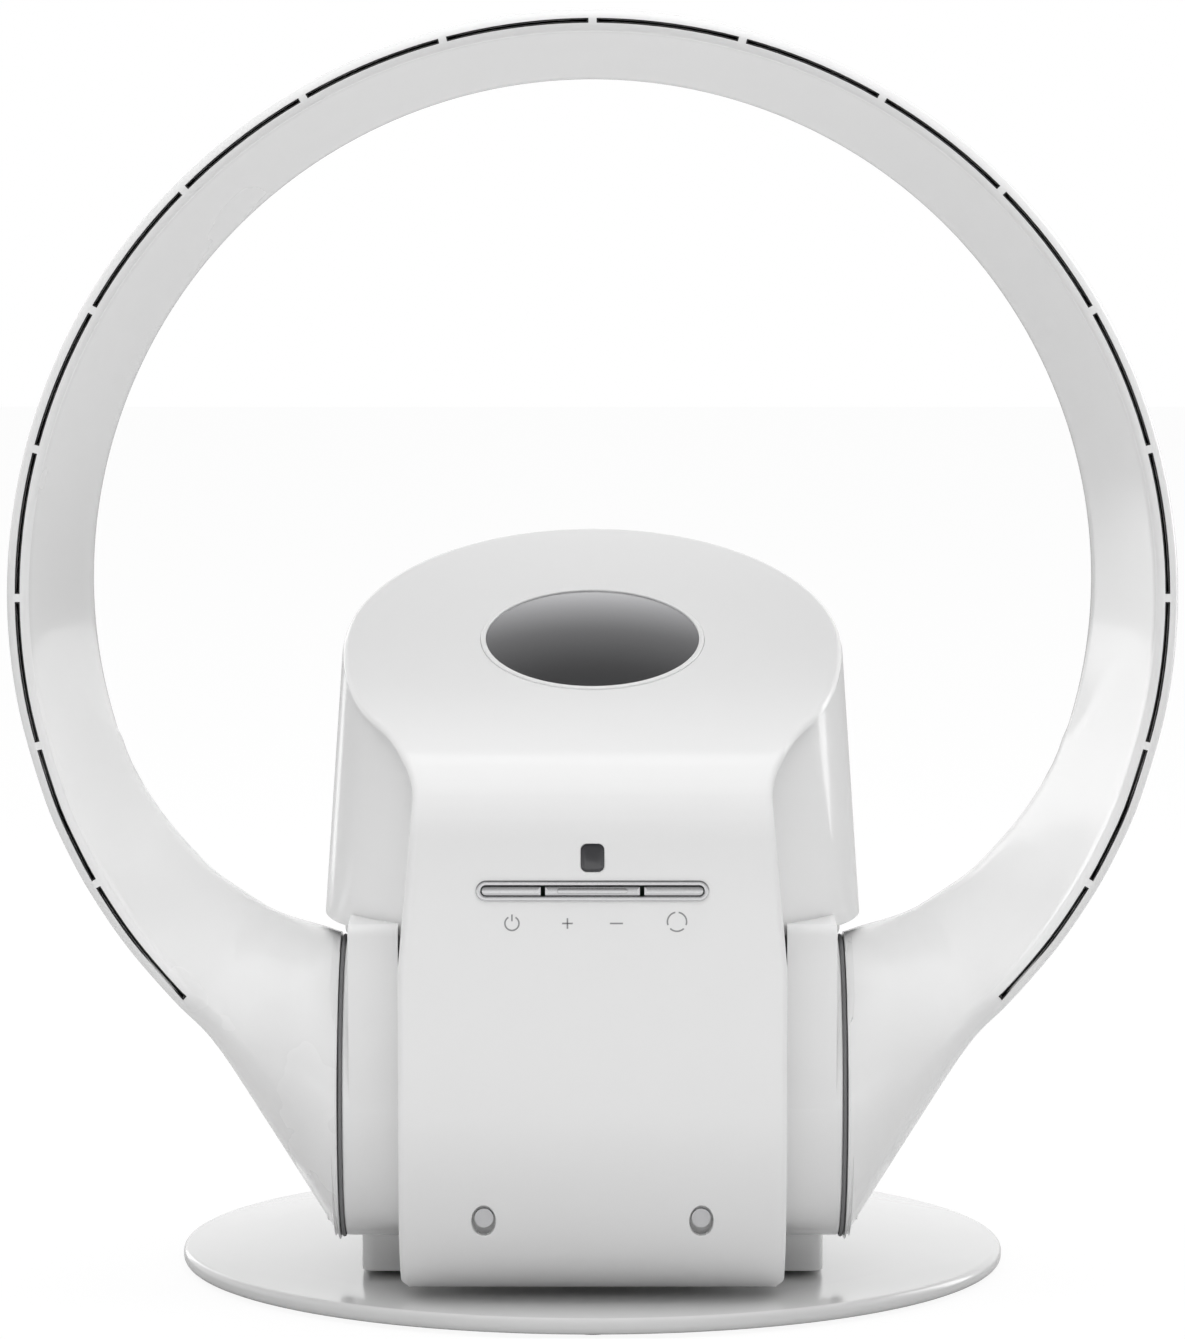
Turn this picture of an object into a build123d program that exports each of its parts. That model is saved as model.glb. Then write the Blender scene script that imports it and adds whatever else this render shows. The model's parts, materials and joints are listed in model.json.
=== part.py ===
from build123d import *
import os
from math import cos, degrees, pi, radians, sin, sqrt, tan

# Bladeless table fan, in millimetres, +Z up. The origin is the centre of the round base on the
# table top, and the front of the fan faces -Y. The hollow ring tilts about the barrel, the
# barrel, pod and pedestal swivel on the base.

# ---- driving dimensions ------------------------------------------------------------------
# general
WALL = 2.5  # moulded housings
FIT = 0.05  # pressed or screwed pieces of one body
RUN = 0.08  # radial play of a shaft in its bush
SLIP = 0.3  # gap between pieces that move past each other
JOIN = 0.02  # how close the edges of two stretches of one moulding must meet

# round base
BASE_R = 155.0
FOOT_H = 1.5
BASE_EDGE_H = 6.0
BASE_TOP_Z = 8.5
BASE_FLAT_R = 40.0
WEIGHT_R = 128.0
WEIGHT_H = 2.6
BOTTOM_COVER_H = 1.2
FOOT_R = 8.0
FOOT_RING_R = 138.0
FOOT_COUNT = 6
BASE_SCREW_RING_R = 134.0

# swivel joint and its swing drive
THRUST_H = 1.0
AXLE_R = 14.0
AXLE_BORE_R = 8.0
AXLE_FLANGE_R = 25.0
AXLE_FLANGE_H = 2.0
GEAR_MODULE = 2.0
GEAR_TEETH = 30
PINION_TEETH = 12
GEAR_H = 6.0
GEAR_LIFT = 0.5
NUT_H = 4.0
NUT_R = 19.0
SWING_MOTOR_AT = 175.0  # direction of the swing motor about the swivel axis, degrees
SWING_MOTOR_R = 22.0
SWING_MOTOR_H = 16.0
SWING_SHAFT_R = 3.5

# pedestal block under the barrel
PEDESTAL_HALF_X = 85.0
PEDESTAL_HALF_Y = 75.0
PEDESTAL_TOP_Z = 31.0
PEDESTAL_FLOOR_H = 4.0
PEDESTAL_CORNER_R = 5.0

# barrel: the cross tube that carries the ring
TILT_Y = -72.0
TILT_Z = 78.5
BARREL_R = 55.0
BARREL_HALF_X = 90.2
SEAM_X = 92.0
HUB_STEP = 1.5  # how far the hub stands out past the barrel
JOURNAL_INSET = 7.05
HUB_WALL = 3.45
HUB_INNER_X = 78.0
END_WALL = 2.5
HUB_COLLAR_STEP = 1.65
HUB_COLLAR_W = 2.4
BUSH_WALL = 1.5
BUSH_INNER_X = 82.0
RETAINER_W = 1.5
RETAINER_STEP = 2.25
RETAINER_DEPTH = 1.2
SEAL_INSET = 0.9
DECK_RISE = 5.0  # how far the barrel's flat front stands up past the pod's foot
DECK_EDGE_R = 4.0
DECK_END_INSET = 2.2
DECK_COVER_GAP = 0.4

# ring (a hollow duct)
RING_R = 210.0
RING_Z = 262.5
RING_FRONT_Y = -122.0
RING_DEPTH = 94.0
RING_THICK = 25.3
RING_WALL = 2.2
RIM_W = 8.0
RING_SPLIT_DEPTH = 86.0
ARCH_CROWN_RISE = 6.0  # from the split forward to where the inner face ends
REAR_TAPER = 4.0  # how far the outer face leans in from the rim to the back
REAR_EASE = 2.0  # from the split forward to where the outer face ends
ARCH_ANGLE = 100.0  # the plain arch each side of the top, degrees
SLOT_W = 1.8
SLOT_COUNT = 18
SLOT_PITCH = 15.0  # degrees
RIB_W = 2.9
LINER_WALL = 0.45
LINER_DEPTH = 12.0

# pod: the drafted drum behind the cover, with the blower in it
POD_Y = -50.0
POD_R = 92.0  # where the top disc is widest
POD_WIDE_Z = 241.0
POD_DRAFT = 3.87  # degrees
POD_RUN = 2.1  # from the barrel up to the pod's floor
POD_FLOOR_H = 4.4
POD_FLOOR_HALF_X = 91.0
TOP_SLOPE = 21.6  # degrees, falling to the front
COLUMN_HALF_X = 84.0
COLUMN_INSET = 4.5
COLUMN_FRONT_Y = -30.0

# front cover: one moulding from the lip under the barrel to the back of the top disc
COVER_WALL = 3.0
COVER_R = 79.0
COVER_LIP_ANGLE = 59.2
COVER_HALF_X = 69.5
COVER_WAIST_HALF_X = 64.0
COVER_WAIST_DROP = 48.0
COVER_STRAIGHT_Z = 130.0
COVER_BEND_R = 34.0
SCREW_WELL_X = 39.0
SCREW_WELL_Z = 40.0
SCREW_WELL_W = 8.7
SCREW_WELL_H = 12.5
SCREW_WELL_DEPTH = 10.0

# badge on the top disc
BADGE_Y = -49.0
BADGE_R = 39.4
BADGE_RIM_W = 1.9
BADGE_RECESS = 1.6
BADGE_DOME = 3.2

# controls on the front face
STRIP_DROP = 80.3  # from the height where the disc is widest
STRIP_W = 83.0
STRIP_H = 7.4
BEZEL_LIP = 1.1
BEZEL_PROUD = 0.6
BUTTON_GAP = 0.3
BUTTON_TRAVEL = 1.0
ROCKER_HALF_X = 16.9
ROCKER_PIN_R = 0.8
POWER_END_X = -18.3
SWING_START_X = 18.3
IR_RISE = 11.7
IR_W = 8.2
IR_H = 9.9
BOARD_T = 1.6
BOARD_GAP = 6.9

# blower
DUCT_R = 49.0
DUCT_WALL = 2.5
DUCT_TOP_DROP = 14.1  # room for the air between the duct's front and the top disc
BELL_FLARE = 7.0
BUCKET_R = 27.0
BUCKET_WALL = 2.0
BUCKET_HANG = 24.0  # how far it reaches down into the barrel's air stub
BUCKET_RISE = 18.0
VANE_COUNT = 7
MOTOR_R = 22.0
MOTOR_H = 33.0
SHAFT_R = 2.5
BEARING_R = 8.0
BEARING_H = 4.0
IMPELLER_TIP_GAP = 1.2
IMPELLER_H = 28.0
IMPELLER_BLADES = 9

# rear intake
INTAKE_HALF_ANGLE = 62.0
INTAKE_RISE = 18.0
INTAKE_DROP = 11.0
LOUVRE_COUNT = 10
FILTER_T = 5.0

# ---- places worked out from the sizes above ----------------------------------------------
MIRRORED = ((-1, "left"), (1, "right"))
SLOT_R = RING_R - RIM_W / 2
PEDESTAL_Z = BASE_TOP_Z + THRUST_H
FLOOR_TOP_Z = PEDESTAL_Z + PEDESTAL_FLOOR_H
GEAR_Z = FLOOR_TOP_Z + GEAR_LIFT
GEAR_R = GEAR_MODULE * GEAR_TEETH / 2
PINION_R = GEAR_MODULE * PINION_TEETH / 2
MOTOR_X = (GEAR_R + PINION_R) * cos(radians(SWING_MOTOR_AT))
MOTOR_Y = (GEAR_R + PINION_R) * sin(radians(SWING_MOTOR_AT))
COVER_FRONT_Y = TILT_Y - COVER_R
POD_REAR_Y = POD_Y + POD_R + 20
HUB_OUTER_X = SEAM_X + END_WALL + HUB_COLLAR_W
HUB_R = BARREL_R + HUB_STEP
JOURNAL_R = BARREL_R - JOURNAL_INSET
HUB_BORE_R = JOURNAL_R - HUB_WALL
HUB_COLLAR_R = JOURNAL_R + HUB_COLLAR_STEP
RETAINER_R = JOURNAL_R + RETAINER_STEP
POD_FLOOR_Z = TILT_Z + BARREL_R + POD_RUN
POD_BOTTOM_Z = POD_FLOOR_Z + POD_FLOOR_H
COVER_WAIST_Z = POD_WIDE_Z - COVER_WAIST_DROP
STRIP_Z = POD_WIDE_Z - STRIP_DROP
IR_Z = STRIP_Z + IR_RISE
BUCKET_BOTTOM_Z = POD_BOTTOM_Z - BUCKET_HANG
BUCKET_TOP_Z = POD_BOTTOM_Z + BUCKET_RISE
INTAKE_LOW_Z = POD_BOTTOM_Z + INTAKE_RISE
INTAKE_HIGH_Z = POD_WIDE_Z - INTAKE_DROP
DUCT_FRONT_Z = POD_WIDE_Z - (POD_Y - TILT_Y + DUCT_R + BELL_FLARE) * tan(radians(TOP_SLOPE))
DUCT_TOP_Z = DUCT_FRONT_Z - DUCT_TOP_DROP
BUTTON_FRONT_Y = COVER_FRONT_Y - BEZEL_PROUD - 0.4
BOARD_Y = COVER_FRONT_Y + COVER_WALL + BOARD_GAP
EAR = 4.0  # side lugs of the bezel that hold the rocker's pin


def save(name, *solids):
    """Write one node: the given solids, in place."""
    os.makedirs("parts", exist_ok=True)
    loose = [s for item in solids for s in item.solids()]
    whole = loose[0] if len(loose) == 1 else Compound(children=loose)
    export_step(whole, f"parts/{name}.step")


def tube(radius, low, high, at=(0, 0)):
    """An upright cylinder from low to high."""
    return Pos(at[0], at[1], (low + high) / 2) * Cylinder(radius, high - low)


def block(x0, x1, y0, y1, z0, z1):
    """A box between two corners."""
    return Pos((x0 + x1) / 2, (y0 + y1) / 2, (z0 + z1) / 2) * Box(x1 - x0, y1 - y0, z1 - z0)


def barrel_tube(radius, x0, x1):
    """A cylinder on the tilt axis, from x0 to x1."""
    return Pos((x0 + x1) / 2, TILT_Y, TILT_Z) * Rot(0, 90, 0) * Cylinder(radius, abs(x1 - x0))


def side_prism(outline, half_x):
    """A face drawn in the YZ plane, pulled to both sides along X."""
    return extrude(Plane.YZ * outline, amount=half_x, both=True)


def front_prism(outline, y0, y1):
    """A face drawn in the XZ plane, pulled from y0 to y1."""
    return Pos(0, y1, 0) * extrude(Plane.XZ * outline, amount=y1 - y0)


# ---- round base --------------------------------------------------------------------------
def base_pieces():
    """The heavy round foot: moulded plate, steel weight, bottom cover, feet and screws."""
    low = FOOT_H
    edge_top = low + BASE_EDGE_H
    nose = 2.4
    profile = make_face(
        Polyline((0, low), (BASE_R - nose, low)).edges()
        + Polyline((BASE_R, low + nose), (BASE_R, edge_top - nose)).edges()
        + [
            TangentArc((BASE_R - nose, low), (BASE_R, low + nose), tangent=(1, 0)).edge(),
            TangentArc((BASE_R, edge_top - nose), (BASE_R - nose, edge_top), tangent=(0, 1)).edge(),
        ]
        + Polyline(
            (BASE_R - nose, edge_top), (BASE_FLAT_R, BASE_TOP_Z), (0, BASE_TOP_Z), (0, low)
        ).edges()
    )
    plate = revolve(Plane.XZ * profile, Axis.Z)
    cover_r = FOOT_RING_R + FOOT_R + 2
    weight_z = low + BOTTOM_COVER_H
    plate -= tube(cover_r + FIT, 0, weight_z)
    plate -= tube(WEIGHT_R + FIT, 0, weight_z + WEIGHT_H + FIT)
    plate -= tube(AXLE_FLANGE_R + FIT, 0, weight_z + WEIGHT_H + AXLE_FLANGE_H)
    plate -= tube(AXLE_R + FIT, 0, BASE_TOP_Z + 1)
    weight = tube(WEIGHT_R, weight_z, weight_z + WEIGHT_H) - tube(AXLE_BORE_R, 0, BASE_TOP_Z)
    cover = tube(cover_r, low, weight_z)
    screw_spots = PolarLocations(BASE_SCREW_RING_R, FOOT_COUNT)
    hole_h = weight_z + 3.2
    plate -= [spot * tube(1.2, 0, hole_h) for spot in screw_spots]
    cover -= [spot * tube(1.6, 0, weight_z + 1) for spot in screw_spots]
    screws = [
        spot * (tube(2.8, low - 0.6, low - FIT) + tube(1.15, low - 0.6, hole_h - 0.4))
        for spot in screw_spots
    ]
    feet = [
        spot * (tube(FOOT_R, 0, low - FIT / 5) - tube(FOOT_R * 0.45, -1, 0.4))
        for spot in PolarLocations(FOOT_RING_R, FOOT_COUNT, start_angle=180 / FOOT_COUNT)
    ]
    save("base_plate", plate)
    save("base_weight", weight)
    save("base_bottom_cover", cover)
    save("base_screws", *screws)
    save("rubber_feet", *feet)


# ---- swivel joint ------------------------------------------------------------------------
def gear(teeth, height, bore, first_tooth):
    """A spur gear about Z with straight-flanked teeth, thin enough to run with backlash."""
    pitch_r = GEAR_MODULE * teeth / 2
    tip_r = pitch_r + 0.8 * GEAR_MODULE
    root_r = pitch_r - 1.1 * GEAR_MODULE
    half_pitch = 0.2 * pi * GEAR_MODULE
    flank = tan(radians(20))
    tip_half = half_pitch - flank * (tip_r - pitch_r)
    root_half = half_pitch + flank * (pitch_r - root_r)
    sunk = root_r - 1.0
    tooth = Polygon(
        (sunk, -root_half), (tip_r, -tip_half), (tip_r, tip_half), (sunk, root_half), align=None
    )
    outline = Circle(root_r)
    for n in range(teeth):
        outline += Rot(0, 0, first_tooth + n * 360 / teeth) * tooth
    return extrude(outline - Circle(bore), amount=height)


def swivel_pieces():
    """The hollow axle on the base, with its thrust washer, fixed gear and nut."""
    flange_z = FOOT_H + BOTTOM_COVER_H + WEIGHT_H + FIT
    top = GEAR_Z + GEAR_H + NUT_H
    axle = tube(AXLE_FLANGE_R, flange_z, flange_z + AXLE_FLANGE_H - FIT)
    axle += tube(AXLE_R, flange_z, top)
    axle -= tube(AXLE_BORE_R, 0, top + 1)
    washer = tube(AXLE_FLANGE_R, BASE_TOP_Z, PEDESTAL_Z) - tube(AXLE_R + FIT, 0, PEDESTAL_Z + 1)
    fixed = Pos(0, 0, GEAR_Z) * gear(GEAR_TEETH, GEAR_H, AXLE_R + FIT, SWING_MOTOR_AT)
    nut = extrude(
        Pos(0, 0, top - NUT_H) * (RegularPolygon(NUT_R, 6) - Circle(AXLE_R + FIT)), amount=NUT_H
    )
    save("swivel_axle", axle)
    save("thrust_washer", washer)
    save("swing_gear", fixed)
    save("swivel_nut", nut)


def swing_drive_pieces():
    """The small geared motor that swings the fan, and its pinion on the fixed gear."""
    half_tooth = 180 / PINION_TEETH
    pinion = Pos(MOTOR_X, MOTOR_Y, GEAR_Z) * gear(
        PINION_TEETH, GEAR_H, SWING_SHAFT_R, SWING_MOTOR_AT + 180 + half_tooth
    )
    at = (MOTOR_X, MOTOR_Y)
    base = PEDESTAL_TOP_Z
    pinion += tube(SWING_SHAFT_R + FIT, GEAR_Z, base + 2, at)
    ears = Pos(MOTOR_X, MOTOR_Y, base + 1) * Box(2 * SWING_MOTOR_R + 13, 8, 2)
    motor = tube(SWING_MOTOR_R, base, base + SWING_MOTOR_H, at) + ears
    motor -= tube(SWING_SHAFT_R + FIT + RUN, base - 1, base + 2.5, at)
    screws = []
    for side in (-1, 1):
        spot = (MOTOR_X + side * (SWING_MOTOR_R + 3.5), MOTOR_Y)
        motor -= tube(1.7, base - 1, base + 3, spot)
        screws.append(tube(1.6, base - 3, base + 2, spot) + tube(3, base + 2, base + 4, spot))
    save("swing_pinion", pinion)
    save("swing_motor", motor)
    save("swing_motor_screws", *screws)


# ---- pedestal and column -----------------------------------------------------------------
def pedestal_pieces():
    """The swivelling block that the barrel sits on, hollow, with the power inlet at its back."""
    outline = RectangleRounded(2 * PEDESTAL_HALF_X, 2 * PEDESTAL_HALF_Y, PEDESTAL_CORNER_R)
    inside = RectangleRounded(
        2 * (PEDESTAL_HALF_X - WALL), 2 * (PEDESTAL_HALF_Y - WALL), PEDESTAL_CORNER_R - WALL
    )
    body = extrude(Pos(0, 0, PEDESTAL_Z) * outline, amount=PEDESTAL_TOP_Z - PEDESTAL_Z)
    body = fillet(body.faces().sort_by(Axis.Z)[-1].edges(), 3.0)
    body -= extrude(Pos(0, 0, FLOOR_TOP_Z) * inside, amount=PEDESTAL_TOP_Z - WALL - FLOOR_TOP_Z)
    body += barrel_tube(BARREL_R + WALL, -60, 60) & block(
        -60, 60, -PEDESTAL_HALF_Y + 1, -20, FLOOR_TOP_Z, PEDESTAL_TOP_Z - 1
    )
    body -= barrel_tube(BARREL_R + FIT, -SEAM_X, SEAM_X)
    body -= tube(AXLE_R + RUN, PEDESTAL_Z - 1, FLOOR_TOP_Z + 1)
    body -= tube(NUT_R + 4, PEDESTAL_TOP_Z - WALL - 1, PEDESTAL_TOP_Z + 1)
    body -= tube(SWING_SHAFT_R + 1.5, PEDESTAL_TOP_Z - 5, PEDESTAL_TOP_Z + 1, (MOTOR_X, MOTOR_Y))
    for side in (-1, 1):
        spot = (MOTOR_X + side * (SWING_MOTOR_R + 3.5), MOTOR_Y)
        body -= tube(1.6 + FIT, PEDESTAL_TOP_Z - 5, PEDESTAL_TOP_Z + 1, spot)
    inlet_z = (FLOOR_TOP_Z + PEDESTAL_TOP_Z - WALL) / 2
    inlet_at = Pos(0, PEDESTAL_HALF_Y, inlet_z) * Rot(90, 0, 0)
    body -= inlet_at * Cylinder(5.5 + FIT, 4 * WALL)
    inlet = Pos(0, PEDESTAL_HALF_Y - 4.5, inlet_z) * Rot(90, 0, 0) * Cylinder(5.5, 10)
    inlet += Pos(0, PEDESTAL_HALF_Y + 0.6, inlet_z) * Rot(90, 0, 0) * Cylinder(7, 1.2 - FIT)
    inlet -= Pos(0, PEDESTAL_HALF_Y - 2, inlet_z) * Rot(90, 0, 0) * Cylinder(3.2, 10)
    inlet += Pos(0, PEDESTAL_HALF_Y - 5, inlet_z) * Rot(90, 0, 0) * Cylinder(1.0, 7)
    save("pedestal", body)
    save("power_inlet", inlet)


def drum_outline(radius, half_x):
    """The pod's round outline with flat sides, in the XY plane."""
    return (Pos(0, POD_Y) * Circle(radius)) & (Pos(0, POD_Y) * Rectangle(2 * half_x, 4 * radius))


def column_pieces():
    """The rear column from the pedestal to the pod floor, with the motor driver board in it."""
    radius = pod_radius(POD_BOTTOM_Z) - COLUMN_INSET
    height = POD_FLOOR_Z - PEDESTAL_TOP_Z
    behind = block(-SEAM_X, SEAM_X, COLUMN_FRONT_Y, 200, 0, 300)
    body = extrude(Pos(0, 0, PEDESTAL_TOP_Z) * drum_outline(radius, COLUMN_HALF_X), amount=height)
    hollow = drum_outline(radius - WALL, COLUMN_HALF_X - WALL)
    body -= extrude(Pos(0, 0, PEDESTAL_TOP_Z - 1) * hollow, amount=height + 2)
    body &= behind
    body -= barrel_tube(BARREL_R + FIT, -SEAM_X, SEAM_X)
    board_z = PEDESTAL_TOP_Z + 30
    board_y = POD_Y + radius - WALL - 22
    board = block(-38, 38, board_y, board_y + BOARD_T, board_z, board_z + 55)
    chips = [
        block(-26 + 18 * n, -14 + 18 * n, board_y - 7, board_y, board_z + 10, board_z + 24)
        for n in range(3)
    ]
    board += [*chips, *[tube_y(4.5, board_y - 12, board_y, (x, board_z + 42)) for x in (-22, 2, 22)]]
    ribs = [
        block(x - 4, x + 4, board_y + BOARD_T, POD_Y + radius - WALL, board_z + 5, board_z + 50)
        for x in (-32, 32)
    ]
    body += [rib & tube(radius - 1, 0, 300, (0, POD_Y)) for rib in ribs]
    save("rear_column", body)
    save("driver_board", board)


def tube_y(radius, y0, y1, at):
    """A cylinder along Y from y0 to y1, at (x, z)."""
    return Pos(at[0], (y0 + y1) / 2, at[1]) * Rot(90, 0, 0) * Cylinder(radius, abs(y1 - y0))


# ---- barrel ------------------------------------------------------------------------------
def screw_boss_end():
    """How far forward the cover's screw wells and the barrel's bosses meet."""
    rise = TILT_Z - SCREW_WELL_Z
    return TILT_Y - sqrt(COVER_R**2 - rise**2) + SCREW_WELL_DEPTH


def deck(inset):
    """The flat-fronted shoulders on the barrel, left and right of the cover, round the pod's foot."""
    front, back = TILT_Y - BARREL_R + inset, COLUMN_FRONT_Y - SLIP - inset
    top, edge = POD_BOTTOM_Z + DECK_RISE - inset, DECK_EDGE_R - inset
    rounded = TangentArc((front, top - edge), (front + edge, top), tangent=(0, 1))
    straight = Polyline((front + edge, top), (back, top), (back, TILT_Z), (front, TILT_Z), (front, top - edge))
    body = side_prism(make_face([*straight.edges(), rounded.edge()]), BARREL_HALF_X - DECK_END_INSET - inset)
    near = COVER_HALF_X + DECK_COVER_GAP - inset
    body -= block(-near, near, -200, 200, 0, 300)
    return body - tube(pod_radius(POD_BOTTOM_Z) + SLIP + inset, POD_FLOOR_Z - SLIP - inset, 300, (0, POD_Y))


def barrel_pieces():
    """The barrel with its air stub up to the pod floor, and the bushes and seals at its ends."""
    stub_r = DUCT_R + DUCT_WALL
    body = barrel_tube(BARREL_R, -BARREL_HALF_X, BARREL_HALF_X)
    body += deck(0) - deck(WALL)
    body += tube(stub_r, TILT_Z, POD_FLOOR_Z, (0, TILT_Y))
    for side in (-1, 1):
        boss = tube_y(4.5, screw_boss_end() + 2.2, TILT_Y, (side * SCREW_WELL_X, SCREW_WELL_Z))
        body += boss
    body -= barrel_tube(BARREL_R - WALL, -BUSH_INNER_X, BUSH_INNER_X)
    body -= tube(DUCT_R, TILT_Z, POD_FLOOR_Z + 1, (0, TILT_Y))
    body -= barrel_tube(JOURNAL_R + RUN + BUSH_WALL + FIT, -SEAM_X, SEAM_X)
    for side in (-1, 1):
        spot = (side * SCREW_WELL_X, SCREW_WELL_Z)
        body += tube_y(4.5, screw_boss_end() + 2.2, TILT_Y - 28, spot)
        body -= tube_y(1.5, screw_boss_end(), TILT_Y - 30, spot)
    save("barrel_housing", body)
    for side, name in MIRRORED:
        bush = barrel_tube(JOURNAL_R + RUN + BUSH_WALL, side * BUSH_INNER_X, side * BARREL_HALF_X)
        bush -= barrel_tube(JOURNAL_R + RUN, side * HUB_INNER_X, side * SEAM_X)
        seal = barrel_tube(HUB_R - SEAL_INSET, side * (BARREL_HALF_X + FIT), side * (SEAM_X - SLIP))
        seal -= barrel_tube(JOURNAL_R + SLIP, side * HUB_INNER_X, side * HUB_OUTER_X)
        save(f"tilt_bush_{name}", bush)
        save(f"tilt_seal_{name}", seal)


def hub_pieces():
    """The ring's hollow hubs that turn in the barrel, kept in by retaining rings."""
    retainers = []
    groove_x = BUSH_INNER_X - SLIP - RETAINER_W
    for side, name in MIRRORED:
        hub = barrel_tube(JOURNAL_R, side * HUB_INNER_X, side * HUB_OUTER_X)
        hub += barrel_tube(HUB_COLLAR_R, side * (SEAM_X + END_WALL), side * HUB_OUTER_X)
        hub -= barrel_tube(HUB_BORE_R, side * (HUB_INNER_X - 1), side * (HUB_OUTER_X + 1))
        groove = barrel_tube(JOURNAL_R + 1, side * groove_x, side * (groove_x + RETAINER_W))
        groove -= barrel_tube(JOURNAL_R - RETAINER_DEPTH, side * groove_x, side * BUSH_INNER_X)
        hub -= groove
        clip = barrel_tube(
            RETAINER_R, side * (groove_x + FIT), side * (groove_x + RETAINER_W - FIT)
        )
        clip -= barrel_tube(JOURNAL_R - RETAINER_DEPTH + FIT, side * groove_x, side * BUSH_INNER_X)
        retainers.append(clip)
        save(f"tilt_hub_{name}", hub)
    save("hub_retainers", *retainers)


# ---- ring --------------------------------------------------------------------------------
# Stations down the right shoulder. The first four follow the rim: the angle of their inner edge from
# the top, how much thicker than the arch they are, the angle of their outer edge, and how far their
# inner crown lies in front of the split. The last two follow the hub: their inner and outer edge
# from the hub's centre at the seam (x, z), their crown, and how far they have turned into its circle.
HUB_DROP = RING_Z - TILT_Z
ON_RIM = (
    (116.3, 2.5, 116.3, 11.0), (121.4, 5.3, 121.4, 16.0), (127.3, 8.8, 127.3, 22.0), (133.1, 14.2, 134.3, 28.0)
)
BY_HUB = (
    ((22.7, 63.1), (45.0, 19.6), 32.0, 0.40),
    ((11.0, 59.7), (26.4, -13.0), 35.0, 0.85),
)


def on_circle(radius, angle):
    """A point (x, z) from the ring's centre, angle degrees from the top."""
    return radius * sin(radians(angle)), radius * cos(radians(angle))


def rim_station(inner_angle, extra, outer_angle, rise):
    """A shoulder station that still follows the rim."""
    inner = on_circle(RING_R - RING_THICK - extra, inner_angle)
    return inner, on_circle(RING_R, outer_angle), RING_SPLIT_DEPTH - rise, 0.0


def near_hub_station(inner, outer, rise, turned):
    """A shoulder station placed from the hub's centre."""
    edges = [(SEAM_X + x, z - HUB_DROP) for x, z in (inner, outer)]
    return *edges, RING_SPLIT_DEPTH - rise, turned


def radial_station(angle):
    """A plain station of the upper ring, angle degrees from the top."""
    return rim_station(angle, 0, angle, ARCH_CROWN_RISE)


def hub_station(x):
    """The round end of the shoulder, in the plane of x."""
    return (x, HUB_R - HUB_DROP), (x, -HUB_R - HUB_DROP), TILT_Y - RING_FRONT_Y, 1.0


def section_points(half, crown, turned, inset):
    """Points round a section as (across, depth), across from the inner edge -half to +half.
    A half-round nose of the rim's width, a straight inner face to the crown, a rounded back
    and a straight outer face, blended into a circle by turned, and moved in by inset."""
    nose = RIM_W / 2
    back = RING_DEPTH
    out_back = half - REAR_TAPER
    deep = RING_SPLIT_DEPTH - REAR_EASE
    points = [
        (half - nose + nose * cos(radians(a)), nose - nose * sin(radians(a)), 20 + 50 * a / 180)
        for a in (0, 30, 60, 90, 120, 150, 180)
    ]
    for n in (1, 2, 3, 4):
        f = n / 5
        points.append((half - RIM_W + f * (RIM_W - 2 * half), nose + f * (crown - nose), 70 + 110 * f))
    mid = (out_back - half) / 2
    for a in (0, 22.5, 45, 67.5, 90):
        c, s = cos(radians(a)), sin(radians(a))
        points.append((mid - (mid + half) * c, crown + (back - crown) * s, 180 + a))
    for a in (30, 60, 90):
        c, s = cos(radians(a)), sin(radians(a))
        points.append((mid + (out_back - mid) * s, deep + (back - deep) * c, 270 + 55 * a / 90))
    for n in (1, 2, 3, 4):
        f = n / 5
        points.append((out_back + f * REAR_TAPER, deep + f * (nose - deep), 325 + 55 * f))
    middle = TILT_Y - RING_FRONT_Y
    reach = half + (HUB_R - half) * 0.85 * turned
    shaped = []
    for across, depth, turn in points:
        round_a = half * cos(radians(turn))
        round_d = middle - reach * sin(radians(turn))
        shaped.append((
            across * (1 - turned) + round_a * turned,
            depth * (1 - turned) + round_d * turned,
        ))
    if not inset:
        return shaped
    moved = []
    for n, (a, d) in enumerate(shaped):
        before, after = shaped[n - 1], shaped[(n + 1) % len(shaped)]
        run = (after[0] - before[0], after[1] - before[1])
        size = sqrt(run[0] ** 2 + run[1] ** 2)
        moved.append((a - inset * run[1] / size * -1, d + inset * run[0] / size * -1))
    return moved


def shoulder_stations(end_x):
    """Stations from the end of the plain arch to the hub, with one more between each two.
    The one between lies on the Catmull-Rom curve through its four neighbours."""
    keys = [radial_station(ARCH_ANGLE + d) for d in (-10, 0, 10)]
    keys += [rim_station(*row) for row in ON_RIM] + [near_hub_station(*row) for row in BY_HUB]
    keys.append(hub_station(end_x))
    flat = [(*inner, *outer, crown, turned) for inner, outer, crown, turned in keys]
    flat.append(tuple(2 * b - a for a, b in zip(*flat[-2:])))
    found = []
    for n in range(1, len(flat) - 2):
        before, here, there, after = flat[n - 1 : n + 3]
        middle = [(9 * (h + t) - b - a) / 16 for b, h, t, a in zip(before, here, there, after)]
        found += [here, middle]
    found.append(flat[-2])
    return [((s[0], s[1]), (s[2], s[3]), s[4], min(1.0, s[5])) for s in found]


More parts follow.
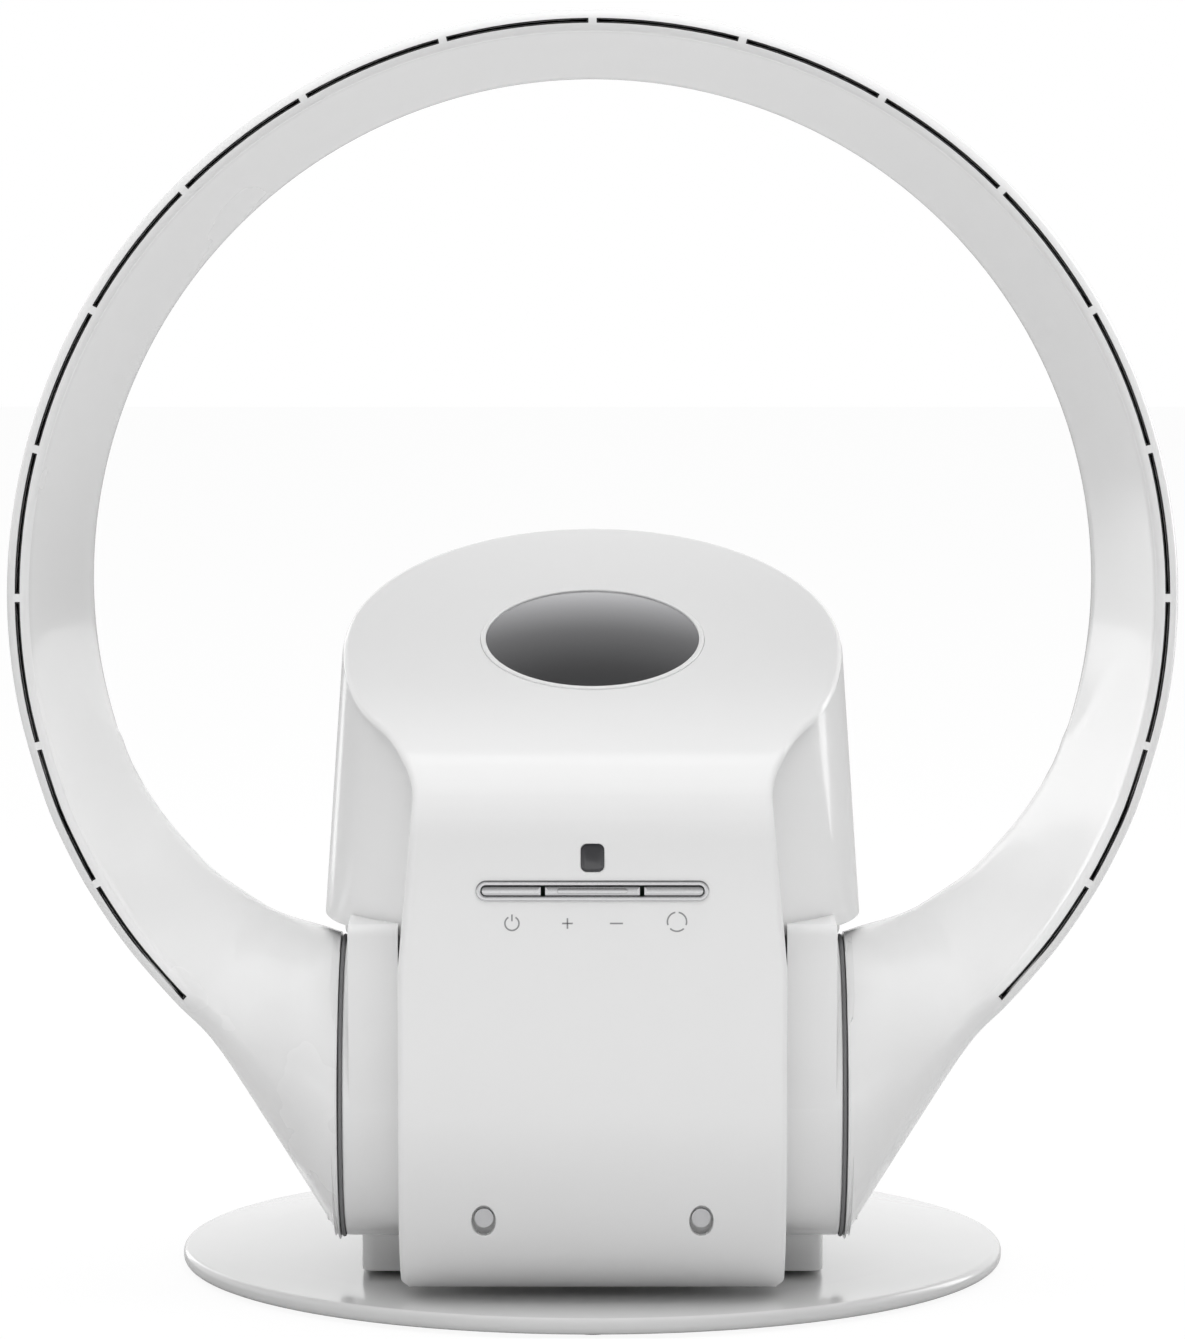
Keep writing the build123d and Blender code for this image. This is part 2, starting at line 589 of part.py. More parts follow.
def station_face(station, inset):
    """The face of one station: four splines that run smoothly into each other."""
    (ix, iz), (ox, oz), crown, turned = station
    run = (ox - ix, oz - iz)
    half = sqrt(run[0] ** 2 + run[1] ** 2) / 2
    out = (run[0] / half / 2, run[1] / half / 2)
    mid = ((ix + ox) / 2, (iz + oz) / 2)
    points = [
        Vector(mid[0] + a * out[0], RING_FRONT_Y + d, RING_Z + mid[1] + a * out[1])
        for a, d in section_points(half, crown, turned, inset)
    ]
    count = len(points)
    corners = (0, 6, 11, 19, count)
    edges = []
    for start, end in zip(corners, corners[1:]):
        through = [points[n % count] for n in range(start, end + 1)]
        ways = [(points[(n + 1) % count] - points[n - 1]).normalized() for n in (start, end % count)]
        edges += Spline(*through, tangents=ways).edges()
    return make_face(edges)


def ring_half(inset, end_x):
    """The right half of the duct, moved in by inset, as its arch and its shoulder."""
    arch = revolve(
        station_face(radial_station(0), inset), Axis((0, 0, RING_Z), (0, 1, 0)), ARCH_ANGLE
    )
    shoulder = loft([station_face(s, inset) for s in shoulder_stations(end_x)], ruled=True)
    return arch, shoulder


def arc_block(radius_in, radius_out, depth0, depth1, start, sweep):
    """A block round the ring's axis, start and sweep in degrees from the +X side."""
    outline = Pos((radius_in + radius_out) / 2, (depth0 + depth1) / 2) * Rectangle(
        radius_out - radius_in, depth1 - depth0
    )
    solid = revolve(outline, Axis.Y, revolution_arc=sweep)
    return Pos(0, RING_FRONT_Y, RING_Z) * Rot(0, -start, 0) * solid


def slot_tools(first):
    """Cutters of the air slot and the pieces of its black liner, for the right half."""
    rib = degrees(RIB_W / SLOT_R)
    span = SLOT_PITCH - rib
    wall = SLOT_W / 2
    core = wall - LINER_WALL
    slots, raised, gaps = [], [], []
    for n in range(SLOT_COUNT // 2):
        start = first - n * SLOT_PITCH - rib / 2
        slots.append(arc_block(SLOT_R - wall, SLOT_R + wall, -1, 6, start, span))
        raised.append(
            arc_block(SLOT_R - wall + FIT, SLOT_R + wall - FIT, 0.25, 6, start - 0.02, span - 0.04)
        )
        gaps.append(
            arc_block(SLOT_R - core, SLOT_R + core, -1, LINER_DEPTH + 1, start - 0.15, span - 0.3)
        )
    whole = SLOT_PITCH * SLOT_COUNT / 2 - rib / 2
    back = arc_block(SLOT_R - wall + FIT, SLOT_R + wall - FIT, 4, LINER_DEPTH, first, whole)
    return slots, back + raised - gaps


def ring_pieces():
    """The hollow ring as a front and a rear shell, and the black liner of its air slot."""
    slots, liner = slot_tools(90)
    split = RING_FRONT_Y + RING_SPLIT_DEPTH
    hub_hole = barrel_tube(JOURNAL_R + FIT, SEAM_X - 1, HUB_OUTER_X)
    before, behind = block(-1, 300, -300, split, 0, 600), block(-1, 300, split, 300, 0, 600)
    front, rear = [], []
    for skin, hollow in zip(ring_half(0, SEAM_X), ring_half(RING_WALL, SEAM_X + END_WALL)):
        wall = skin - hollow - hub_hole
        front.append((wall & before) - slots)
        rear.append(wall & behind)
    for name, (arch, shoulder) in (("ring_front_shell", front), ("ring_rear_shell", rear)):
        right = arch.fuse(shoulder, tol=JOIN)
        save(name, right.fuse(mirror(right, Plane.YZ), tol=JOIN))
    save("nozzle_liner", liner + mirror(liner, Plane.YZ))


# ---- pod ---------------------------------------------------------------------------------
def pod_radius(z):
    """The pod's outer radius at a height."""
    return POD_R + (POD_WIDE_Z - z) * tan(radians(POD_DRAFT))


def top_z(y):
    """Height of the sloped top surface."""
    return POD_WIDE_Z + (y - POD_Y) * tan(radians(TOP_SLOPE))


def pod_cone(offset, low, high):
    """The drafted drum, grown by offset."""
    profile = make_face(Polyline(
        (0, low), (pod_radius(low) + offset, low), (pod_radius(high) + offset, high), (0, high), (0, low)
    ))
    return Pos(0, POD_Y, 0) * revolve(Plane.XZ * profile, Axis.Z)


def below_top(drop):
    """Everything under the sloped top, drop millimetres below it (square to it)."""
    fall = drop / cos(radians(TOP_SLOPE))
    outline = make_face(Polyline(
        (-200, 0), (100, 0), (100, top_z(100) - fall), (-200, top_z(-200) - fall), (-200, 0)
    ))
    return side_prism(outline, 150)


def rear_sector(half_angle, low, high, reach=150):
    """A wedge about the pod's axis, open to the back."""
    edge = (reach * sin(radians(half_angle)), reach * cos(radians(half_angle)))
    outline = Polygon((0, 0), (edge[0], edge[1]), (0, reach * 1.4), (-edge[0], edge[1]), align=None)
    return Pos(0, POD_Y, low) * extrude(outline, amount=high - low)


def pod_pieces():
    """The pod's floor and shell, the rear grille and the filter behind it."""
    floor_r = pod_radius(POD_BOTTOM_Z) - 2.5
    floor = extrude(Pos(0, 0, POD_FLOOR_Z) * drum_outline(floor_r, POD_FLOOR_HALF_X), amount=POD_FLOOR_H)
    floor -= tube(DUCT_R, POD_FLOOR_Z - 1, POD_BOTTOM_Z + 1, (0, TILT_Y))
    shell = pod_cone(0, POD_BOTTOM_Z, top_z(100)) & below_top(COVER_WALL + FIT)
    shell -= pod_cone(-WALL, POD_BOTTOM_Z, top_z(100) + 1)
    shell &= side_prism(cover_side_face(COVER_WALL + SLIP), 150)
    window_x = COVER_WAIST_HALF_X - 6
    shell -= block(-window_x, window_x, -200, POD_Y - 30, POD_BOTTOM_Z + 3, COVER_WAIST_Z + 5)
    shell -= rear_sector(INTAKE_HALF_ANGLE, INTAKE_LOW_Z, INTAKE_HIGH_Z)
    lugs = []
    for side in (-1, 1):
        for y in (POD_Y - 45, POD_Y + 62):
            x = side * sqrt((floor_r - 5) ** 2 - (y - POD_Y) ** 2)
            lugs.append((x, y))
    posts, screws = [], []
    for spot in lugs:
        post = tube(4.5, POD_BOTTOM_Z, POD_BOTTOM_Z + 12, spot) & pod_cone(-1, POD_BOTTOM_Z, 200)
        posts.append(post - tube(1.3, POD_BOTTOM_Z - 1, POD_BOTTOM_Z + 10, spot))
        floor -= tube(1.8, POD_FLOOR_Z - 1, POD_BOTTOM_Z + 1, spot)
        floor -= tube(3.4, POD_FLOOR_Z - 1, POD_FLOOR_Z + 2, spot)
        screws.append(
            tube(1.25, POD_FLOOR_Z + 0.1, POD_BOTTOM_Z + 9, spot)
            + tube(3.2, POD_FLOOR_Z + 0.1, POD_FLOOR_Z + 2, spot)
        )
    shell += posts
    save("pod_floor", floor)
    save("pod_shell", shell)
    save("pod_screws", *screws)

    low, high = INTAKE_LOW_Z + FIT, INTAKE_HIGH_Z - FIT
    grille = pod_cone(-0.4, low, high) - pod_cone(-0.4 - 2.0, low - 1, high + 1)
    pitch = (high - low - 6) / LOUVRE_COUNT
    bars = [block(-2, 2, 0, 200, low, high)]
    bars = [Pos(0, POD_Y, 0) * Rot(0, 0, a) * bars[0] for a in range(-50, 51, 10)]
    slits = [
        block(-150, 150, POD_Y, 200, low + 3 + pitch * (n + 0.22), low + 3 + pitch * (n + 0.78))
        for n in range(LOUVRE_COUNT)
    ]
    open_part = rear_sector(INTAKE_HALF_ANGLE - 4, low, high)
    slits = [(slit & open_part) - bars for slit in slits]
    grille = (grille & rear_sector(INTAKE_HALF_ANGLE - 0.05, low, high)) - slits
    save("intake_grille", grille)
    out = -WALL - SLIP
    mat = pod_cone(out, low - 3, high + 3) - pod_cone(out - FILTER_T, low - 4, high + 4)
    save("intake_filter", mat & rear_sector(INTAKE_HALF_ANGLE + 2, low - 3, high + 3))


# ---- blower ------------------------------------------------------------------------------
def blower_pieces():
    """The duct with its bell mouth, the motor in its vaned bucket, and the impeller above it."""
    at = Pos(0, TILT_Y, 0)
    wall_r = DUCT_R + DUCT_WALL
    duct = tube(wall_r, POD_BOTTOM_Z, DUCT_TOP_Z - BELL_FLARE, (0, TILT_Y))
    duct += tube(wall_r + 6, POD_BOTTOM_Z, POD_BOTTOM_Z + 3, (0, TILT_Y))
    duct -= tube(DUCT_R, POD_BOTTOM_Z - 1, DUCT_TOP_Z, (0, TILT_Y))
    low = DUCT_TOP_Z - BELL_FLARE
    lip = BELL_FLARE - DUCT_WALL
    bell = make_face(
        Line((DUCT_R, low), (wall_r, low))
        + TangentArc((wall_r, low), (wall_r + lip, low + lip), tangent=(0, 1))
        + Line((wall_r + lip, low + lip), (wall_r + lip, DUCT_TOP_Z))
        + TangentArc((DUCT_R, low), (DUCT_R + BELL_FLARE, DUCT_TOP_Z), tangent=(0, 1))
    )
    duct += at * revolve(Plane.XZ * bell, Axis.Z)
    duct_floor_gap = POD_BOTTOM_Z + FIT
    bucket = tube(BUCKET_R, BUCKET_BOTTOM_Z, BUCKET_TOP_Z) - tube(
        BUCKET_R - BUCKET_WALL, BUCKET_BOTTOM_Z + BUCKET_WALL, BUCKET_TOP_Z + 1
    )
    vane = block(BUCKET_R - 1, DUCT_R - FIT, -1, 1, duct_floor_gap, BUCKET_TOP_Z - 2)
    bucket += [Rot(0, 0, n * 360 / VANE_COUNT) * vane for n in range(VANE_COUNT)]
    bucket -= tube(BEARING_R + 2, BUCKET_BOTTOM_Z - 1, BUCKET_BOTTOM_Z + BUCKET_WALL + 1)
    motor_z = BUCKET_BOTTOM_Z + BUCKET_WALL + 2
    motor_top = motor_z + MOTOR_H
    mount = tube(BUCKET_R - BUCKET_WALL - FIT, motor_z - 2 + FIT, motor_z + 8)
    mount -= tube(MOTOR_R + FIT, motor_z, motor_z + 9)
    mount -= tube(BEARING_R + 2, motor_z - 3, motor_z + 1)
    motor = tube(MOTOR_R, motor_z + FIT, motor_top)
    motor -= tube(SHAFT_R + 1, motor_z - 1, motor_top + 1)
    bearings = []
    for z in (motor_z + 2, motor_top - 2 - BEARING_H):
        motor -= tube(BEARING_R + FIT, z - FIT, z + BEARING_H + FIT)
        bearings.append(tube(BEARING_R, z, z + BEARING_H) - tube(SHAFT_R + RUN, z - 1, z + BEARING_H + 1))
    motor -= tube(MOTOR_R - 5, motor_z + 9, motor_top - 9) - tube(BEARING_R + 1, motor_z, motor_top)
    coils = tube(MOTOR_R - 5 - FIT, motor_z + 10, motor_top - 10) - tube(BEARING_R + 1.3, 0, 300)
    impeller_z = BUCKET_TOP_Z + 1.5
    rotor = tube(SHAFT_R, motor_z + 1, impeller_z + IMPELLER_H - 2)
    save("impeller_duct", duct)
    save("motor_bucket", at * bucket)
    save("motor_mount", at * mount)
    save("motor_can", at * motor)
    save("motor_windings", at * coils)
    save("motor_bearings", *[at * b for b in bearings])
    save("motor_shaft", at * rotor)

    tip_r = DUCT_R - IMPELLER_TIP_GAP
    hub_profile = make_face(Polyline(
        (0, impeller_z), (BUCKET_R, impeller_z), (BUCKET_R - 3, impeller_z + 6),
        (12, impeller_z + IMPELLER_H - 3), (8, impeller_z + IMPELLER_H), (0, impeller_z + IMPELLER_H),
        (0, impeller_z),
    ))
    hub = revolve(Plane.XZ * hub_profile, Axis.Z)
    hub -= tube(BUCKET_R - 6, impeller_z - 1, impeller_z + 3)
    blade = extrude(
        Pos(0, 0, impeller_z + 1) * Rot(0, 0, 0) * Rectangle(tip_r * 2, 1.6), amount=IMPELLER_H - 4
    )
    blade &= block(5, tip_r + 1, -5, 5, impeller_z, impeller_z + IMPELLER_H)
    blade = Pos(0, 0, impeller_z + 12) * Rot(22, 0, 0) * Pos(0, 0, -impeller_z - 12) * blade
    blade &= tube(tip_r, impeller_z + 0.5, impeller_z + IMPELLER_H - 2)
    wheel = hub + [Rot(0, 0, n * 360 / IMPELLER_BLADES) * blade for n in range(IMPELLER_BLADES)]
    wheel -= tube(SHAFT_R, impeller_z - 1, impeller_z + IMPELLER_H - 2)
    save("impeller", at * wheel)


# ---- front cover -------------------------------------------------------------------------
def cover_side_face(inset):
    """The cover seen from the side, filled back to the barrel's axis, in the YZ plane."""
    radius = COVER_R - inset
    front = TILT_Y - radius
    lip = radians(COVER_LIP_ANGLE)
    lip_shift = inset
    lip_y = TILT_Y - radius * cos(lip) - lip_shift * sin(lip)
    lip_z = TILT_Z - radius * sin(lip) + lip_shift * cos(lip)
    slope = radians(TOP_SLOPE)
    fall = inset / cos(slope)
    corner_z = top_z(front) - fall
    bend = COVER_BEND_R - inset
    reach = bend * tan((pi / 2 - slope) / 2)
    on_top = (front + reach * cos(slope), corner_z + reach * sin(slope))
    back = POD_REAR_Y
    heart = (TILT_Y - inset * sin(lip) * 0.2, TILT_Z)
    edges = [
        ThreePointArc(
            (lip_y, lip_z),
            (TILT_Y - radius * cos(lip / 2), TILT_Z - radius * sin(lip / 2)),
            (front, TILT_Z),
        ),
        Line((front, TILT_Z), (front, corner_z - reach)),
        TangentArc((front, corner_z - reach), on_top, tangent=(0, 1)),
        Polyline(on_top, (back, top_z(back) - fall), (back, TILT_Z + 40), heart, (lip_y, lip_z)),
    ]
    return make_face(edges[0].edges() + edges[1].edges() + edges[2].edges() + edges[3].edges())


def cover_front_face(inset):
    """The cover seen from the front: straight sides, a waist and an S-curve to the disc."""
    widest = (POD_R - inset, POD_WIDE_Z)
    waist = (COVER_WAIST_HALF_X - inset, COVER_WAIST_Z)
    middle = ((widest[0] + waist[0]) / 2, (widest[1] + waist[1]) / 2)
    half = []
    for side in (1, -1):
        flip = lambda p: (side * p[0], p[1])
        half.append([
            Polyline(flip((COVER_HALF_X - inset, 0)), flip((COVER_HALF_X - inset, COVER_STRAIGHT_Z)), flip(waist)),
            TangentArc(flip(waist), flip(middle), tangent=(0, 1)),
            TangentArc(flip(widest), flip(middle), tangent=(0, -1)),
            Line(flip(widest), flip((POD_R - inset, 320))),
        ])
    rims = [
        Line((-COVER_HALF_X + inset, 0), (COVER_HALF_X - inset, 0)),
        Line((-POD_R + inset, 320), (POD_R - inset, 320)),
    ]
    return make_face([e for group in (*half, rims) for item in group for e in item.edges()])


def cover_pieces():
    """The front cover with its openings, and its two screws."""
    outer = side_prism(cover_side_face(0), 120)
    limit = front_prism(cover_front_face(0), -250, POD_Y)
    limit += pod_cone(0, 150, 320) & block(-150, 150, POD_Y, 200, 0, 400)
    body = outer & limit
    inner = side_prism(cover_side_face(COVER_WALL), 120)
    hollow = inner & front_prism(cover_front_face(COVER_WALL), -250, POD_Y - 20)
    body -= hollow
    body -= below_top(COVER_WALL) & block(-150, 150, POD_Y - 25, 200, 0, 400)
    body -= pod_cone(SLIP, POD_FLOOR_Z - SLIP, 330) & below_top(COVER_WALL) & inner
    body -= barrel_tube(BARREL_R + SLIP, -SEAM_X, SEAM_X)
    well_end = screw_boss_end()
    screws = []
    for side in (-1, 1):
        spot = (side * SCREW_WELL_X, SCREW_WELL_Z)
        shape = Ellipse(SCREW_WELL_W / 2, SCREW_WELL_H / 2)
        sleeve = Ellipse(SCREW_WELL_W / 2 + 2, SCREW_WELL_H / 2 + 2)
        place = Pos(spot[0], 0, spot[1])
        body += (place * front_prism(sleeve, -200, well_end + 2)) & outer
        body -= place * front_prism(shape, -200, well_end)
        body -= tube_y(2.2, well_end - 1, well_end + 5, spot)
        screws.append(
            tube_y(3.4, well_end - 2.4, well_end - FIT, spot)
            + tube_y(1.45, well_end - 2.4, well_end + 14, spot)
        )
    # openings for the control strip and the infrared window
    wide = STRIP_W - 2 * BEZEL_LIP
    high = STRIP_H - 2 * BEZEL_LIP
    strip = Pos(0, STRIP_Z) * SlotOverall(wide + 2 * FIT, high + 2 * FIT)
    body -= front_prism(strip, -200, COVER_FRONT_Y + 8)
    window = Pos(0, IR_Z) * RectangleRounded(IR_W + 2 * FIT, IR_H + 2 * FIT, 2.2)
    body -= front_prism(window, -200, COVER_FRONT_Y + 8)
    for spot in board_spots():
        body += tube_y(2.8, COVER_FRONT_Y + COVER_WALL - 0.1, BOARD_Y - FIT, spot)
        body -= tube_y(1.5 + FIT, COVER_FRONT_Y + COVER_WALL + 0.6, BOARD_Y, spot)
    disc = badge_plane()
    body -= disc * Pos(0, 0, -BADGE_RECESS + 5) * Cylinder(BADGE_R + BADGE_RIM_W + FIT, 10)
    save("front_cover", body)
    save("cover_screws", *screws)


def board_spots():
    """Where the control board is screwed to the cover, as (x, z)."""
    return [(x, z) for x in (-42, 42) for z in (STRIP_Z - 10, IR_Z + 6)]


def badge_plane():
    """The place of the badge: on the sloped top, square to it."""
    slope = radians(TOP_SLOPE)
    normal = (0, -sin(slope), cos(slope))
    return Location(Plane(origin=(0, BADGE_Y, top_z(BADGE_Y)), x_dir=(1, 0, 0), z_dir=normal))


def badge_pieces():
    """The bare domed badge and the ring around it."""
    place = badge_plane()
    rim = Pos(0, 0, -BADGE_RECESS / 2 + 0.3) * Cylinder(BADGE_R + BADGE_RIM_W, BADGE_RECESS + 0.6)
    rim -= Cylinder(BADGE_R, 20)
    dome_r = (BADGE_R**2 + BADGE_DOME**2) / (2 * BADGE_DOME)
    dome = Pos(0, 0, BADGE_DOME - dome_r) * Sphere(dome_r)
    disc = (dome & Pos(0, 0, 5) * Cylinder(BADGE_R - FIT, 10 + 0.02)) + Pos(
        0, 0, -BADGE_RECESS / 2
    ) * Cylinder(BADGE_R - FIT, BADGE_RECESS)
    save("badge_rim", place * rim)
    save("badge_disc", place * disc)


# ---- controls ----------------------------------------------------------------------------
def control_pieces():
    """The bright strip with its two push buttons and its rocker, and the infrared window."""
    wide, high = STRIP_W, STRIP_H
    in_wide, in_high = wide - 2 * BEZEL_LIP - 1.4, high - 2 * BEZEL_LIP - 1.4
    back = COVER_FRONT_Y + COVER_WALL
    place = Pos(0, STRIP_Z)
    bezel = front_prism(place * SlotOverall(wide, high), COVER_FRONT_Y - BEZEL_PROUD, COVER_FRONT_Y - 0.01)
    bezel += front_prism(
        place * SlotOverall(wide - 2 * BEZEL_LIP, high - 2 * BEZEL_LIP), COVER_FRONT_Y - 0.1, back + 0.4
    )
    pin_y = back + 1.6
    for side in (-1, 1):
        z = STRIP_Z + side * (high / 2 - 0.9)
        bezel += block(-EAR / 2, EAR / 2, back, pin_y + 1.8, z - 0.8, z + 0.8)
    bezel -= front_prism(place * SlotOverall(in_wide, in_high), -200, back + 1)
    bezel -= block(-ROCKER_HALF_X, ROCKER_HALF_X, back, back + 9, STRIP_Z - 1.6, STRIP_Z + 1.6)
    pin = tube(ROCKER_PIN_R, STRIP_Z - high / 2 - 0.5, STRIP_Z + high / 2 + 0.5, (0, pin_y))
    bezel -= tube(ROCKER_PIN_R + FIT, STRIP_Z - 9, STRIP_Z + 9, (0, pin_y))

    cap_half = in_high / 2 - BUTTON_GAP
    end = in_wide / 2 - BUTTON_GAP
    stem_end = back + 2.6
    field = place * SlotOverall(2 * end, 2 * cap_half)
    buttons = []
    for x0, x1 in ((-100, POWER_END_X), (SWING_START_X, 100)):
        cap = front_prism(field, BUTTON_FRONT_Y, back + 1.0) & block(x0, x1, -200, 0, 0, 300)
        mid = (max(x0, -end) + min(x1, end)) / 2
        cap += block(mid - 7, mid + 7, back + 0.7, stem_end, STRIP_Z - 3.4, STRIP_Z + 3.4)
        buttons.append((cap, mid))
    rocker = front_prism(field, BUTTON_FRONT_Y, back - 0.4) & block(
        -ROCKER_HALF_X, ROCKER_HALF_X, -200, 0, 0, 300
    )
    rocker += block(-12.5, 12.5, BUTTON_FRONT_Y - 0.5, BUTTON_FRONT_Y + 1, STRIP_Z - 0.9, STRIP_Z + 0.9)
    rocker += block(-2.2, 2.2, back - 0.6, pin_y + 1.4, STRIP_Z - 1.3, STRIP_Z + 1.3)
    rocker += block(-9.5, 9.5, back - 0.6, back + 0.9, STRIP_Z - 1.3, STRIP_Z + 1.3)
    rocker -= tube(ROCKER_PIN_R + RUN, STRIP_Z - 9, STRIP_Z + 9, (0, pin_y))
    save("button_bezel", bezel)
    save("rocker_pin", pin)
    save("power_button", buttons[0][0])
    save("swing_button", buttons[1][0])
    save("speed_rocker", rocker)

    window = front_prism(
        Pos(0, IR_Z) * RectangleRounded(IR_W, IR_H, 2.2), COVER_FRONT_Y - 0.15, back + 0.5
    )
    window += front_prism(
        Pos(0, IR_Z) * Rectangle(IR_W + 3, IR_H + 1.6), back + 0.02, back + 1.4
    )
    save("ir_window", window)

    board = block(-46, 46, BOARD_Y, BOARD_Y + BOARD_T, STRIP_Z - 14, IR_Z + 10)
    for spot in board_spots():
        board -= tube_y(1.6, BOARD_Y - 1, BOARD_Y + 3, spot)
    tops = []
    for x in (buttons[0][1], -7.5, 7.5, buttons[1][1]):
        near = stem_end if abs(x) > 10 else back + 0.9
        tops.append(
            block(x - 3, x + 3, BOARD_Y - 2, BOARD_Y - FIT, STRIP_Z - 3, STRIP_Z + 3)
            + tube_y(1.2, near + BUTTON_TRAVEL + 0.15, BOARD_Y - 1.8, (x, STRIP_Z))
        )
    eye = block(-3, 3, back + 1.7, BOARD_Y - FIT, IR_Z - 3, IR_Z + 3)
    board_screws = [
        tube_y(1.5, back + 1, BOARD_Y + 2, spot)
        + tube_y(2.8, BOARD_Y + BOARD_T + FIT, BOARD_Y + BOARD_T + 1.8, spot)
        for spot in board_spots()
    ]
    save("control_board", board)
    save("tact_switches", *tops)
    save("ir_receiver", eye)
    save("board_screws", *board_screws)


base_pieces()
swivel_pieces()
swing_drive_pieces()
pedestal_pieces()
column_pieces()
barrel_pieces()
hub_pieces()
ring_pieces()
pod_pieces()
blower_pieces()
cover_pieces()
badge_pieces()
control_pieces()
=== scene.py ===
import json

import bmesh
import bpy
import numpy as np
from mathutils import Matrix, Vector
from numpy import cos, radians, sin


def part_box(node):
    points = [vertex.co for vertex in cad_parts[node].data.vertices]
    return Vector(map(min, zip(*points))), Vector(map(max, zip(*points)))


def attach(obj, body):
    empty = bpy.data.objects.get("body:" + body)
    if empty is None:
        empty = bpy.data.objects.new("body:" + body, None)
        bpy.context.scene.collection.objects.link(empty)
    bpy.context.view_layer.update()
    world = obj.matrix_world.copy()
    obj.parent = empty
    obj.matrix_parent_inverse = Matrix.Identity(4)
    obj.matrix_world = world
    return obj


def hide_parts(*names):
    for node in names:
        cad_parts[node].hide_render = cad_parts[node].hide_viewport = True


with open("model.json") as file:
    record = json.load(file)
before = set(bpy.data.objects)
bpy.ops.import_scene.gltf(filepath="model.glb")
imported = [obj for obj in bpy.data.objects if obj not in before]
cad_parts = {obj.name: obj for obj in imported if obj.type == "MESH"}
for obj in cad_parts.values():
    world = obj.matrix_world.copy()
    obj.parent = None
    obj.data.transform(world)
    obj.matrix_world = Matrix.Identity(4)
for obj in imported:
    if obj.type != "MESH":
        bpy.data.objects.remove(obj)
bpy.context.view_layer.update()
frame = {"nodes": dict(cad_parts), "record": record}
mm = 0.001


# ---- Base plate ----
# The heavy round foot, one polished white moulding with a rolled edge and a very flat cone on
# top. It is turned here as one closed profile, hollow underneath for the steel weight.
def quads_between(rows, cols, wrap_rows=False, wrap_cols=False):
    """The quads of a grid of points numbered row by row: each joins a point, the next one in
    its column, that one's neighbour in the row, and its own neighbour."""
    r = np.arange(rows if wrap_rows else rows - 1)
    c = np.arange(cols if wrap_cols else cols - 1)
    r, c = np.meshgrid(r, c, indexing="ij")
    r2, c2 = (r + 1) % rows, (c + 1) % cols
    return np.stack([r * cols + c, r2 * cols + c, r2 * cols + c2, r * cols + c2], -1).reshape(-1, 4)


SHARP = 32.0  # degrees between faces from which an edge stays crisp


def piece(name, points, faces, material, body, stands_for=(), wall=0.0):
    """A finished piece from points and faces: doubles are merged, so that seams and poles close,
    and a wall is grown inwards where the faces are only a skin. It rides on its body and stands
    for the CAD nodes named."""
    mesh = bpy.data.meshes.new(name)
    mesh.from_pydata(np.asarray(points).reshape(-1, 3).tolist(), [],
                     [[int(n) for n in face] for face in faces])
    work = bmesh.new()
    work.from_mesh(mesh)
    bmesh.ops.remove_doubles(work, verts=work.verts, dist=0.004 * mm)
    bmesh.ops.dissolve_degenerate(work, edges=work.edges, dist=0.001 * mm)
    if not wall:
        bmesh.ops.recalc_face_normals(work, faces=work.faces)
    work.to_mesh(mesh)
    work.free()
    made = bpy.data.objects.new(name, mesh)
    bpy.context.scene.collection.objects.link(made)
    if wall:
        grown = made.modifiers.new("wall", "SOLIDIFY")
        grown.thickness, grown.offset = wall, -1
        bpy.context.view_layer.update()
        shown = made.evaluated_get(bpy.context.evaluated_depsgraph_get())
        made.data = bpy.data.meshes.new_from_object(shown)
        made.modifiers.clear()
        bpy.data.meshes.remove(mesh)
        mesh = made.data
        mesh.name = name
    mesh.shade_smooth()
    mesh.set_sharp_from_angle(angle=radians(SHARP))
    mesh.materials.append(material)
    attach(made, body)
    if stands_for:
        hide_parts(*stands_for)
    return made


def turned(profile, around, axis="z", centre=(0, 0, 0), loop=True):
    """A turned shape: each (radius, height) of the profile carried round the axis. The point at
    angle a is centre + radius (cos a, sin a) across the axis + height along it."""
    a = np.linspace(0, 2 * np.pi, around, endpoint=False)
    r, h = np.asarray(profile, float).T
    across, up, along = r[:, None] * cos(a), r[:, None] * sin(a), h[:, None] + 0 * a
    order = {"z": (across, up, along), "x": (along, across, up)}[axis]
    points = np.stack(order, -1) + np.asarray(centre, float)
    return points.reshape(-1, 3), quads_between(len(r), around, loop, True)


def corner(x, y, radius, start, end, steps=6):
    """Points on a circular fillet about (x, y), from one angle to the other in degrees."""
    a = radians(np.linspace(start, end, steps + 1))
    return [(x + radius * cos(t), y + radius * sin(t)) for t in a]


def feed(node, inputs):
    """Gives each named input of a node its value, or the link from another node's output."""
    for socket, value in inputs.items():
        if isinstance(value, bpy.types.NodeSocket):
            node.id_data.links.new(value, node.inputs[socket])
        else:
            node.inputs[socket].default_value = value
    return node


def add_node(tree, kind, inputs=None, **settings):
    """A new shader node of a kind in a tree, with its settings and its inputs."""
    made = tree.nodes.new(kind)
    for key, value in settings.items():
        setattr(made, key, value)
    return feed(made, inputs or {})


